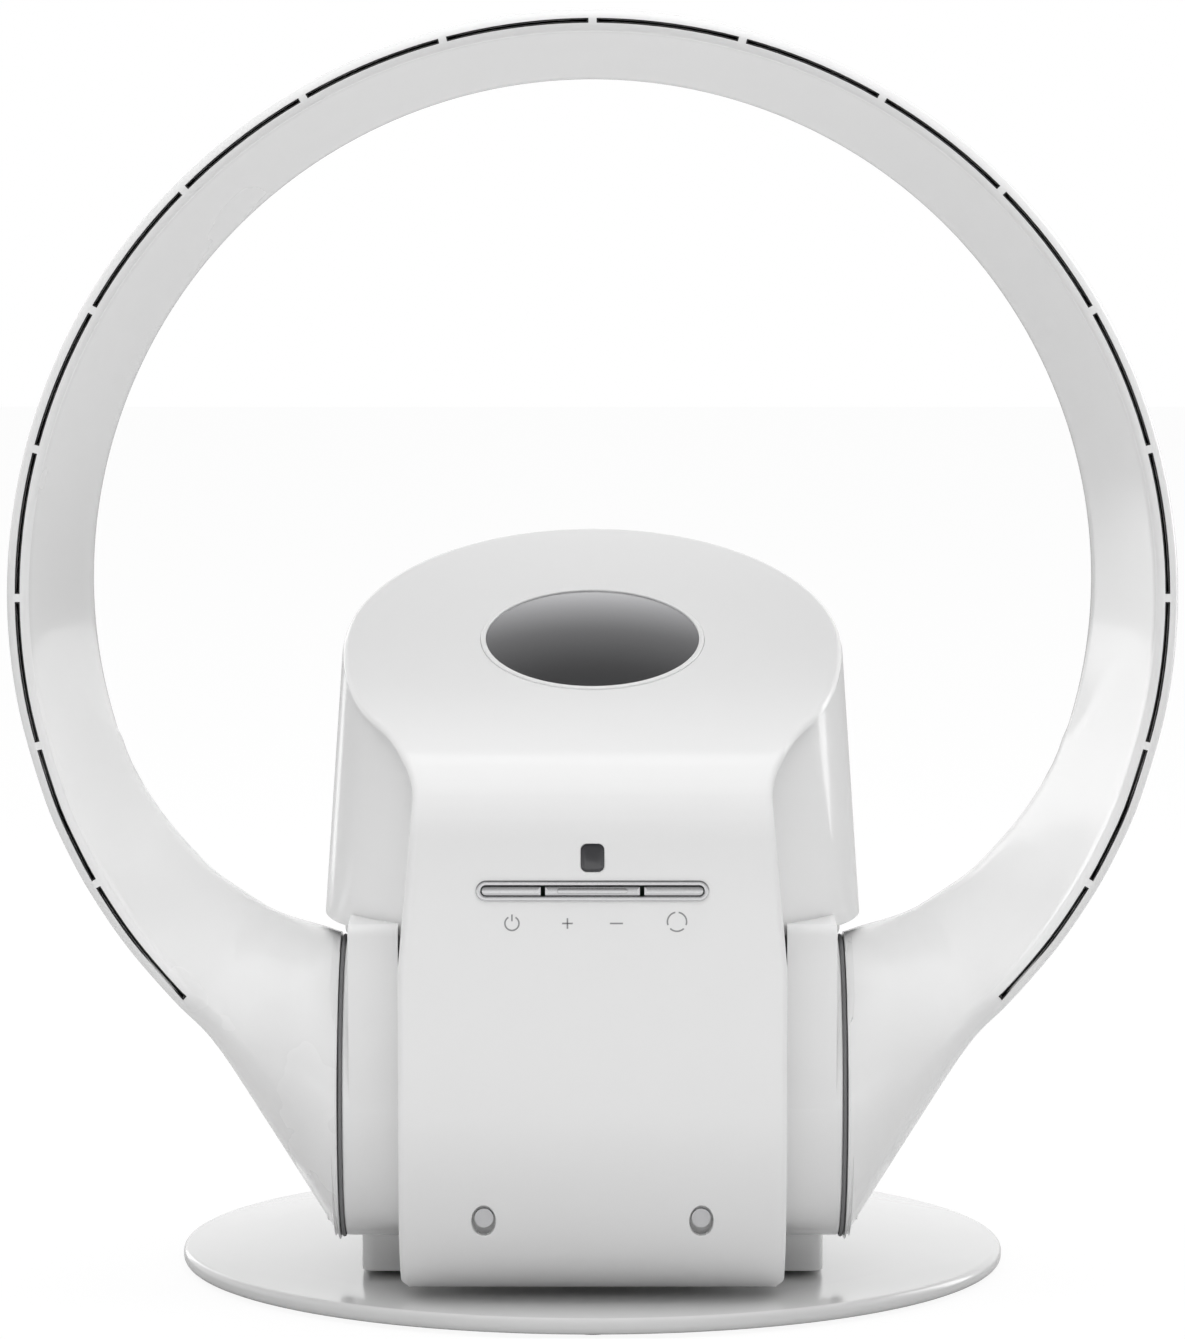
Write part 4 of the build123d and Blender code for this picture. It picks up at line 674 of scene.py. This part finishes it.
def cover_edge():
    """The right edge of the face as (s, x) rows, from the bottom corner to the back of the lid,
    drawn in by the rounding, and the outward way square to it."""
    turn, hang = 3 * mm, 1.2 * mm
    t = radians(np.linspace(0, 90, 10))
    foot = np.column_stack([turn * (1 - cos(t)) - hang, COVER_HALF - turn + turn * sin(t)])
    back = RUN_END - POD_R * 1.02
    up = np.linspace(turn - hang, back, 150)[1:]
    lid = back + (RUN_END - back) * sin(np.linspace(0, np.pi / 2, 60)[1:])
    s = np.concatenate([up, lid])
    side = np.column_stack([s, cover_half(s)])
    side[-1, 1] = 0
    edge = np.vstack([foot, side])
    along = np.gradient(edge, axis=0)
    along[0], along[-1] = (0, 1), (0, -1)
    out = np.column_stack([-along[:, 1], along[:, 0]])
    out /= np.linalg.norm(out, axis=1)[:, None]
    return edge - ROUND * out, out


# sizes of the openings: middle (s, x), half length along s, half width, corner, and how deep
STRIP_Z, IR_Z, WELL_Z, WELL_X = 160.7 * mm, 172.4 * mm, 40 * mm, 39 * mm
BADGE_Y, BADGE_R, BADGE_RIM = -49 * mm, 39.4 * mm, 1.9 * mm


def length_at(z):
    """Length along the cover at which it reaches a height, on the arc or the straight rise."""
    if z > TILT_Z:
        return RUN_ARC + z - TILT_Z
    return RUN_ARC - COVER_R * np.arcsin((TILT_Z - z) / COVER_R)


WELL_SLANT = cos(np.arcsin((TILT_Z - WELL_Z) / COVER_R))
badge_s = RUN_BEND + (BADGE_Y - LID_START_Y) / cos(SLOPE)
seat_r = BADGE_R + BADGE_RIM + 0.05 * mm
well = (6.25 * mm / WELL_SLANT, 4.35 * mm)
OPENINGS = [
    (length_at(WELL_Z), -WELL_X, *well, None, 10 * mm),
    (length_at(WELL_Z), WELL_X, *well, None, 10 * mm),
    (length_at(STRIP_Z), 0, 2.65 * mm, 40.45 * mm, 2.65 * mm, 3 * mm),
    (length_at(IR_Z), 0, 5.0 * mm, 4.15 * mm, 2.2 * mm, 3 * mm),
    (badge_s, 0, seat_r, seat_r, seat_r, 1.6 * mm),
]
MARGIN = 5 * mm


def rim_of(opening, s, x, grow):
    """The points of an opening's edge that face the given (s, x) points, grown by grow: an
    ellipse by its angle, or a rounded rectangle by its nearest point on the inner frame."""
    s0, x0, half_s, half_x, round_r, _ = opening
    ds, dx = s - s0, x - x0
    if round_r is None:
        t = np.arctan2(ds / half_s, dx / half_x)
        return s0 + (half_s + grow) * sin(t), x0 + (half_x + grow) * cos(t)
    frame_s = np.clip(ds, -(half_s - round_r), half_s - round_r)
    frame_x = np.clip(dx, -(half_x - round_r), half_x - round_r)
    far = np.hypot(ds - frame_s, dx - frame_x)
    reach = (round_r + grow) / far
    return s0 + frame_s + (ds - frame_s) * reach, x0 + frame_x + (dx - frame_x) * reach


def steps_with(values, low, high, step):
    """Values from low to high no further apart than step, through all the values given."""
    marks = np.unique(np.round([low, *[v for v in values if low < v < high], high], 9))
    found = [np.linspace(p, q, max(1, int(np.ceil((q - p) / step))), endpoint=False)
             for p, q in zip(marks, marks[1:])]
    return np.concatenate([*found, [high]])


def nearest(values, wanted):
    """Where in an array the value nearest to each one wanted is."""
    return [int(np.argmin(np.abs(values - w))) for w in wanted]


def window_loop(numbers, i0, i1, j0, j1):
    """The point numbers round a window of a grid, from row i0 to i1 and column j0 to j1."""
    return np.concatenate([numbers[i0, j0:j1], numbers[i0:i1, j1], numbers[i1, j1:j0:-1],
                           numbers[i1:i0:-1, j0]])


def opening_rings(opening, ls, lx):
    """Rings from a window's edge at (ls, lx) to the opening's rounded lip, down its wall, and
    for a blind opening over its floor."""
    s0, x0, _, _, round_r, deep = opening
    hs, hx = rim_of(opening, ls, lx, 0.5 * mm)
    rings = [on_cover(ls + (hs - ls) * f, lx + (hx - lx) * f) for f in (0.4, 0.75, 1.0)]
    for grow, down in ((0.24, 0.06), (0.07, 0.2), (0.0, 0.5)):
        rings.append(on_cover(*rim_of(opening, ls, lx, grow * mm), down * mm))
    edge = rim_of(opening, ls, lx, 0.0)
    if round_r is None:  # a screw well runs straight back, to a floor with a hole
        foot, heart, shares = on_cover(*edge), on_cover(s0, x0) + [0, deep, 0], (0.7, 0.52)
        foot[:, 1] = heart[1]
    else:  # of the others, only the badge's seat has a floor
        foot, heart = on_cover(*edge, deep), on_cover(s0, x0, deep)
        shares = (0.6, 0.2) if opening is OPENINGS[-1] else ()
    return rings + [foot] + [heart + (foot - heart) * f for f in shares]


# the wall behind the cover's edge: its depth under the barrel and at the lid, the height below
# which it ends in the barrel, and where it starts to turn from running back to hanging down
UNDER_WALL, LID_WALL, BARREL_END_Z = 24.5 * mm, 0.8 * mm, 118 * mm
TURN_Z, TURN_RUN = 226 * mm, 14 * mm


def cover_faces():
    """All points and faces of the cover's skin: the face as a grid of length by share of the
    width, each opening as a patch of rings in a window of that grid, and the rounded edge with
    the side wall behind it."""
    drawn, out = cover_edge()
    s_edge, x_edge = drawn[:, 0], drawn[:, 1]
    s_marks, spans = [], []
    for s0, x0, half_s, half_x, _, _ in OPENINGS:
        s_marks += [s0 - half_s - MARGIN, s0 + half_s + MARGIN]
        spans.append((x0 + np.array([-1, 1]) * (half_x + MARGIN)) / np.interp(s0, s_edge, x_edge))
    # the strip and the infrared window are close, so their patches meet halfway between them
    strip, eye = OPENINGS[2:4]
    between = (strip[0] + strip[2] + (eye[0] - eye[2])) / 2
    s_marks = [m for m in s_marks if abs(m - between) > MARGIN] + [between]
    s_rows = steps_with(s_marks, s_edge[0], s_edge[-1], 3.4 * mm)
    keep_near = np.abs(s_edge[:, None] - s_rows).min(1) > 0.6 * mm
    s_rows = np.unique(np.concatenate([s_rows, s_edge[keep_near]]))
    t_cols = steps_with(np.concatenate(spans), -1.0, 1.0, 0.05)
    s_all = np.repeat(s_rows[:, None], len(t_cols), 1)
    x_all = np.interp(s_rows, s_edge, x_edge)[:, None] * t_cols
    points = [on_cover(s_all, x_all).reshape(-1, 3)]
    faces, keep = with_gaps(s_all)
    numbers = np.arange(s_all.size).reshape(s_all.shape)
    quads = []

    def join(ring, places, outwards):
        """Adds a ring of points and its quads to the ring before it, and gives its numbers."""
        first = sum(map(len, points))
        new = np.arange(first, first + len(ring))
        points.append(places)
        a, b = (ring, new) if outwards else (new, ring)
        quads.append(np.stack([a, np.roll(a, -1), np.roll(b, -1), b], -1))
        return new

    for opening, span in zip(OPENINGS, spans):
        low, high = opening[0] - opening[2], opening[0] + opening[2]
        i0, i1 = nearest(s_rows, (max(m for m in s_marks if m < low),
                                  min(m for m in s_marks if m > high)))
        j0, j1 = nearest(t_cols, span)
        keep[i0:i1, j0:j1] = False
        ring = window_loop(numbers, i0, i1, j0, j1)
        for places in opening_rings(opening, s_all.ravel()[ring], x_all.ravel()[ring]):
            ring = join(ring, places, False)
    # round the whole face: its last row is one point, the back of the lid
    ring = np.concatenate([numbers[0, :-1], numbers[:-1, -1], numbers[-1:, 0], numbers[-2:0:-1, 0]])
    out_s, out_x = (np.interp(s_rows[:-1], s_edge, out[:, k]) for k in (0, 1))
    norm = np.hypot(out_s, out_x)
    out_s, out_x = out_s / norm, out_x / norm
    dir_s = np.concatenate([np.full(len(t_cols) - 1, -1.0), out_s, [1.0], out_s[:0:-1]])
    dir_x = np.concatenate([np.zeros(len(t_cols) - 1), out_x, [0.0], -out_x[:0:-1]])
    y, z, ny, nz = cover_line(s_all.ravel()[ring])
    away = np.stack([dir_x, dir_s * nz, -dir_s * ny], -1)
    normal = np.stack([0 * ny, ny, nz], -1)
    bed = np.stack([x_all.ravel()[ring], y, z], -1) - ROUND * normal
    for angle in (18, 36, 54, 72, 90):
        c, s = cos(radians(angle)), sin(radians(angle))
        ring = join(ring, bed + ROUND * (c * normal + s * away), True)
    last = bed + ROUND * away
    high = last[:, 2]
    # how far back the wall runs: into the pod's side, under the pod's floor or into the barrel
    drum = POD_Y - np.sqrt(np.maximum(pod_radius(high) ** 2 - last[:, 0] ** 2, 0)) + 4 * mm
    tube = TILT_Y - np.sqrt(np.maximum(barrel_r**2 - (high - TILT_Z) ** 2, 0)) + 2 * mm
    goal = np.where(high > floor_low.z, drum, np.where(high > BARREL_END_Z, POD_Y, tube))
    reach = np.maximum(goal - last[:, 1], LID_WALL)
    back = np.clip((high - TURN_Z) / TURN_RUN, 0, 1)[:, None]
    down = -normal * LID_WALL
    side = np.abs(dir_x)[:, None]
    wall = np.where((high < TILT_Z)[:, None], -normal * UNDER_WALL * side + down * (1 - side),
                    np.array([0, 1.0, 0]) * reach[:, None] * (1 - back) + down * back)
    for f in (0.34, 0.67, 1.0):
        ring = join(ring, last + wall * f, True)
    return np.concatenate(points), np.concatenate([faces[keep], *quads])


points, faces = cover_faces()
piece("front_cover_skin", points, faces[:, ::-1], white, "head", ["front_cover"], wall=2.0 * mm)


# ---- Badge ----
# A bare domed disc of polished chrome in the lid, with a slim white ring around it.
def on_lid(points):
    """Points given from the badge's middle, square to the lid, put in place."""
    p = np.asarray(points)
    c, s = cos(SLOPE), sin(SLOPE)
    middle = np.array([0, BADGE_Y, lid_z(BADGE_Y)])
    return middle + np.column_stack([p[:, 0], p[:, 1] * c - p[:, 2] * s, p[:, 1] * s + p[:, 2] * c])


outer_r = BADGE_R + BADGE_RIM
profile = [(BADGE_R, -1.5 * mm), (outer_r, -1.5 * mm)]
profile += corner(outer_r - 0.6 * mm, 0.0, 0.6 * mm, 0, 90, 5)
profile += corner(BADGE_R + 0.45 * mm, 0.15 * mm, 0.45 * mm, 90, 180, 5)
points, faces = turned(profile, 200)
piece("badge_ring", on_lid(points), faces, white, "head", ["badge_rim"])
chrome = plastic("badge_chrome", (0.62, 0.62, 0.635), rough=0.12, grain=2400.0, depth=0.12,
                 wander=0.05, metal=1.0)
dome = 3.2 * mm
dome_r = (BADGE_R**2 + dome**2) / (2 * dome)
r = BADGE_R * sin(np.linspace(0, np.pi / 2, 26)) * (BADGE_R - 0.08 * mm) / BADGE_R
height = dome - dome_r + np.sqrt(dome_r**2 - r**2)
profile = [(0.0, -1.4 * mm), (r[-1], -1.4 * mm), *list(zip(r, height))[::-1]]
points, faces = turned(profile, 200, loop=False)
piece("badge_dome", on_lid(points), faces, chrome, "head", ["badge_disc"])


# ---- Control strip ----
# A satin silver frame with three caps: the power button, the speed rocker with its raised bar,
# and the swing button. Each cap is a small plated moulding with a rounded edge.
silver = plastic("strip_silver", (0.6, 0.6, 0.61), rough=0.24, grain=2000.0, depth=0.25, metal=1.0)


def facing_front(points, faces):
    """A plate drawn with x, z and a height becomes one that faces the front at that height."""
    p = np.asarray(points)
    return np.column_stack([p[:, 0], FRONT_Y - p[:, 2], p[:, 1]]), faces


def cap_levels(back, front, edge, crown):
    """Rings of a cap: up its side, over a quarter-round edge, then a slight crown to the middle."""
    found = [(0.0, back)] + [(edge - c, h) for c, h in corner(0, front - edge, edge, 0, 90, 5)]
    return found + [(edge + 0.35 * mm, front + crown * 0.6), (edge + 0.8 * mm, front + crown)]


bezel_low, bezel_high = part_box("button_bezel")
half_w, half_h = bezel_high.x, (bezel_high.z - bezel_low.z) / 2
proud = FRONT_Y - bezel_low.y
lip_w, lip_in, groove = 1.8 * mm, 0.3 * mm, 2.6 * mm
levels = [(0.0, -0.05 * mm)]
levels += [(0.5 * mm - c, h) for c, h in corner(0, proud - 0.5 * mm, 0.5 * mm, 0, 90, 5)]
levels += [(lip_w - lip_in + lip_in * sin(t), proud - lip_in * (1 - cos(t)))
           for t in radians([0, 22, 45, 68, 90])]
levels += [(lip_w, -groove), (1.2 * mm, -groove), (1.2 * mm, -0.05 * mm)]
plate = stacked(-half_w, half_w, STRIP_Z - half_h, STRIP_Z + half_h, [half_h] * 4, levels, 16, True)
piece("strip_frame", *facing_front(*plate), silver, "head", ["button_bezel"])
cap_half, bar_half = half_h - lip_w - lip_in, 0.95 * mm
for name, round_left, round_right in (
    ("power_button", True, False), ("speed_rocker", False, False), ("swing_button", False, True),
):
    low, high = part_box(name)
    front = FRONT_Y - low.y if name != "speed_rocker" else 1.0 * mm
    radii = [cap_half if r else 0.35 * mm for r in [round_right] * 2 + [round_left] * 2]
    levels = cap_levels(-3.9 * mm, front, 0.32 * mm, 0.1 * mm)
    points, faces = stacked(low.x, high.x, STRIP_Z - cap_half, STRIP_Z + cap_half, radii,
                            levels, 12)
    if name == "speed_rocker":
        bar = cap_levels(front - 0.1 * mm, front + 0.5 * mm, 0.3 * mm, 0.05 * mm)[:-1]
        more, more_faces = stacked(-12.5 * mm, 12.5 * mm, STRIP_Z - bar_half, STRIP_Z + bar_half,
                                   [0.9 * mm] * 4, bar, 8)
        faces = faces + [[n + len(points) for n in f] for f in more_faces]
        points = np.vstack([points, more])
    piece(f"{name}_cap", *facing_front(points, faces), silver, name, [name])


# ---- Infrared window ----
# A small dark lens above the strip, smooth and slightly domed.
lens = plastic("lens_smoke", (0.02, 0.02, 0.024), rough=0.1, grain=400.0, depth=0.05, wander=0.03,
               coat=0.5)
levels = cap_levels(-3.4 * mm, 0.12 * mm, 0.35 * mm, 0.12 * mm)
IR_HALF_W, IR_HALF_H, IR_CORNER = 4.1 * mm, 4.95 * mm, 2.2 * mm
plate = stacked(-IR_HALF_W, IR_HALF_W, IR_Z - IR_HALF_H, IR_Z + IR_HALF_H, [IR_CORNER] * 4,
                levels, 10)
piece("ir_lens", *facing_front(*plate), lens, "head", ["ir_window"])


# ---- Signs ----
# Pad-printed grey signs under the strip: power, plus, minus and swing.
ink = plastic("sign_ink", (0.3, 0.3, 0.305), rough=0.5, grain=3000.0, depth=0.4)
SIGN_Z, LINE_W, INK_H = 149 * mm, 0.55 * mm, 0.05 * mm


def stroke(x0, z0, x1, z1):
    """A straight printed line with square ends, as a thin plate, from one point to the other,
    given in millimetres from the middle of the strip's sign line."""
    start, end = np.array([x0 * mm, SIGN_Z + z0 * mm]), np.array([x1 * mm, SIGN_Z + z1 * mm])
    run = end - start
    side = np.array([-run[1], run[0]]) / np.linalg.norm(run) * LINE_W / 2
    flat = (start + side, start - side, end - side, end + side)
    points = [(*p, h) for h in (-INK_H, INK_H) for p in flat]
    faces = [[0, 3, 2, 1], [4, 5, 6, 7]]
    faces += [[n, (n + 1) % 4, (n + 1) % 4 + 4, n + 4] for n in range(4)]
    return np.array(points), faces


def bow(x, z, radius, start, end):
    """A printed arc: a thin plate between two radii, from one angle to the other."""
    x, z, radius, half = x * mm, SIGN_Z + z * mm, radius * mm, LINE_W / 2
    a = radians(np.linspace(start, end, 28))
    ring = [np.column_stack([x + r * cos(a), z + r * sin(a), np.full(len(a), h)])
            for r, h in ((radius - half, -INK_H), (radius - half, INK_H),
                         (radius + half, INK_H), (radius + half, -INK_H))]
    ends = np.arange(4) * len(a)
    caps = [ends.tolist(), (np.roll(ends[::-1], 1) + len(a) - 1).tolist()]
    faces = quads_between(4, len(a), True).tolist() + caps
    return np.vstack(ring), faces


marks = [
    bow(-28.6, 0, 2.5, 120, 420), stroke(-28.6, 0.8, -28.6, 3.2),  # power
    stroke(-10.8, 0, -7.0, 0), stroke(-8.9, -1.9, -8.9, 1.9),  # plus
    stroke(6.2, 0, 10.8, 0),  # minus
    bow(30, 0.6, 3.4, 100, 200), bow(30, 0.6, 3.4, -20, 80), bow(30, 0.6, 3.4, 225, 315),  # swing
]
points, faces = [], []
for p, f in marks:
    faces += [[n + sum(map(len, points)) for n in face] for face in f]
    points.append(p)
piece("control_signs", *facing_front(np.vstack(points), faces), ink, "head")


# ---- Inner pieces and fasteners ----
# What the housings hide or only let glimpse: feet, screws, gears, boards, motors and blower.
# Their imported shapes stay, each in its own finish.
# the black plastic slot takes the near-black painted shade of the air slot
FINISHES = {
    "black_plastic": slot_painted_shade, "black_lens": lens, "chrome_badge": chrome, "silver_trim": silver,
    "grey_seal": seal_grey, "white_gloss": white,
}
# slot, name, colour, roughness, grain, depth of the grain, metal and mottle
for slot, name, colour, rough, grain, depth, metal, mottle in (
    ("foot_rubber", "foot_rubber", (0.04, 0.04, 0.042), 0.7, 2200, 0.9, 0, 14),
    ("steel", "screw_steel", (0.55, 0.55, 0.56), 0.3, 3000, 0.3, 1, 14),
    ("steel_weight", "weight_paint", (0.16, 0.16, 0.17), 0.45, 700, 0.9, 0, 14),
    ("nylon", "natural_nylon", (0.78, 0.76, 0.7), 0.42, 1100, 0.4, 0, 14),
    ("inner_plastic", "inner_grey", (0.6, 0.6, 0.61), 0.4, 1000, 0.5, 0, 14),
    ("foam", "filter_foam", (0.06, 0.06, 0.065), 0.95, 620, 8.0, 0, 160),
    ("board", "board_green", (0.02, 0.13, 0.055), 0.35, 1500, 0.5, 0, 90),
    ("switch_black", "switch_black", (0.03, 0.03, 0.03), 0.5, 1500, 0.5, 0, 14),
    ("motor_metal", "cast_metal", (0.58, 0.58, 0.59), 0.45, 900, 0.8, 1, 14),
    ("copper", "winding_copper", (0.72, 0.3, 0.12), 0.35, 1600, 1.2, 1, 14),
):
    FINISHES[slot] = plastic(name, colour, rough, grain, depth, metal=metal, mottle=mottle)
for part in frame["record"]["subparts"]:
    mesh = frame["nodes"][part["node"]].data
    mesh.materials.clear()
    mesh.materials.append(FINISHES[part["material_slot"]])


# ---- Stage ----
# A white floor that keeps a faint shadow, a white surround, soft lamps, and the camera.
def white_floor():
    """White to the camera, with a share of its own soft shadow: a mix of the lit floor, brought
    to white, and of plain white."""
    made = bpy.data.materials.new("stage_white")
    made.use_nodes = True
    tree = made.node_tree
    lit = feed(tree.nodes["Principled BSDF"], {
        "Base Color": (0.66, 0.66, 0.66, 1), "Roughness": 0.9,
    })
    glow = add_node(tree, "ShaderNodeEmission", {"Strength": 1.05})
    seen = add_node(tree, "ShaderNodeLightPath").outputs["Is Camera Ray"]
    share = add_node(tree, "ShaderNodeMath", {0: seen, 1: 0.88}, operation="MULTIPLY")
    mix = add_node(tree, "ShaderNodeMixShader", {
        "Fac": share.outputs[0], 1: lit.outputs["BSDF"], 2: glow.outputs["Emission"],
    })
    feed(tree.nodes["Material Output"], {"Surface": mix.outputs["Shader"]})
    return made


bpy.ops.mesh.primitive_plane_add(size=12)
floor = bpy.context.object
floor.name = "stage_floor"
floor.data.materials.append(white_floor())

scene = bpy.context.scene
scene.view_settings.view_transform = "Standard"
world = bpy.data.worlds.new("surround")
scene.world = world
world.use_nodes = True
sky = world.node_tree


def tone_ramp(up, stops):
    """Greys by the height of a direction, from (place, tone) stops in order."""
    ramp = add_node(sky, "ShaderNodeValToRGB", {"Fac": up})
    marks = ramp.color_ramp.elements
    for at, _ in stops[1:-1]:
        marks.new(at)
    for mark, (at, tone) in zip(marks, stops):
        mark.position, mark.color = at, (tone, tone, tone, 1)
    return ramp.outputs["Color"]


# what lights the fan, what its gloss mirrors (dark overhead, dimmer at the front), and the white
# that the camera sees
place = add_node(sky, "ShaderNodeTexCoord").outputs["Generated"]
way = add_node(sky, "ShaderNodeSeparateXYZ", {"Vector": place}).outputs
daylight = ((0.0, 0.34), (0.25, 0.46), (0.6, 0.85), (1.0, 1.0))
lit = feed(sky.nodes["Background"], {"Color": tone_ramp(way["Z"], daylight), "Strength": 0.8})
facing = add_node(sky, "ShaderNodeMapRange", {
    "Value": way["Y"], "From Min": -0.6, "From Max": 0.3, "To Min": 0.3,
})
mirror = ((0.0, 1.0), (0.42, 1.0), (0.62, 0.5), (0.74, 0.24), (0.88, 0.09), (1.0, 0.05))
shown = add_node(sky, "ShaderNodeBackground", {
    "Color": tone_ramp(way["Z"], mirror), "Strength": facing.outputs["Result"],
})
seen = add_node(sky, "ShaderNodeBackground", {"Color": (1, 1, 1, 1)})
path = add_node(sky, "ShaderNodeLightPath").outputs
gloss = add_node(sky, "ShaderNodeMixShader", {
    "Fac": path["Is Glossy Ray"], 1: lit.outputs["Background"], 2: shown.outputs["Background"],
})
mix = add_node(sky, "ShaderNodeMixShader", {
    "Fac": path["Is Camera Ray"], 1: gloss.outputs["Shader"], 2: seen.outputs["Background"],
})
feed(sky.nodes["World Output"], {"Surface": mix.outputs["Shader"]})


def soft_box(name, place, target, wide, high, power):
    """A soft rectangular lamp at a place, turned to its target."""
    data = bpy.data.lights.new(name, "AREA")
    data.shape = "RECTANGLE"
    data.size, data.size_y, data.energy = wide, high, power
    lamp = bpy.data.objects.new(name, data)
    scene.collection.objects.link(lamp)
    lamp.location = place
    way = Vector(target) - Vector(place)
    lamp.rotation_euler = way.to_track_quat("-Z", "Y").to_euler()
    return lamp


overhead = soft_box("overhead", (0.0, -0.6, 2.4), (0, 0.0, 0.2), 3.0, 2.4, 44)
overhead.visible_glossy = False
soft_box("strip_left", (-0.66, 1.25, 0.45), (0, -0.05, 0.25), 0.2, 1.5, 0.9)
soft_box("strip_right", (1.39, 0.75, 0.5), (0, -0.05, 0.25), 0.45, 1.6, 5.0)
soft_box("low_front", (0.0, -0.74, 0.01), (0, -0.3, 0.16), 1.4, 0.16, 0.5)
soft_box("low_fill", (0.0, -2.2, 0.3), (0, -0.1, 0.05), 2.2, 0.5, 0.6)

CAMERA_AT, CAMERA_TILT = (0.0, -2.41393, 0.45496), 85.2
FOCAL_PX, PHOTO_H, RING_MID_Y = 6424.6, 1339, 598
camera_data = bpy.data.cameras.new("camera")
camera = bpy.data.objects.new("camera", camera_data)
scene.collection.objects.link(camera)
scene.camera = camera
camera.location = CAMERA_AT
camera.rotation_euler = (radians(CAMERA_TILT), 0, 0)
camera_data.sensor_width = 36
camera_data.lens = FOCAL_PX * 36 / PHOTO_H
camera_data.shift_y = (RING_MID_Y - PHOTO_H / 2) / PHOTO_H
camera_data.clip_start = 0.05
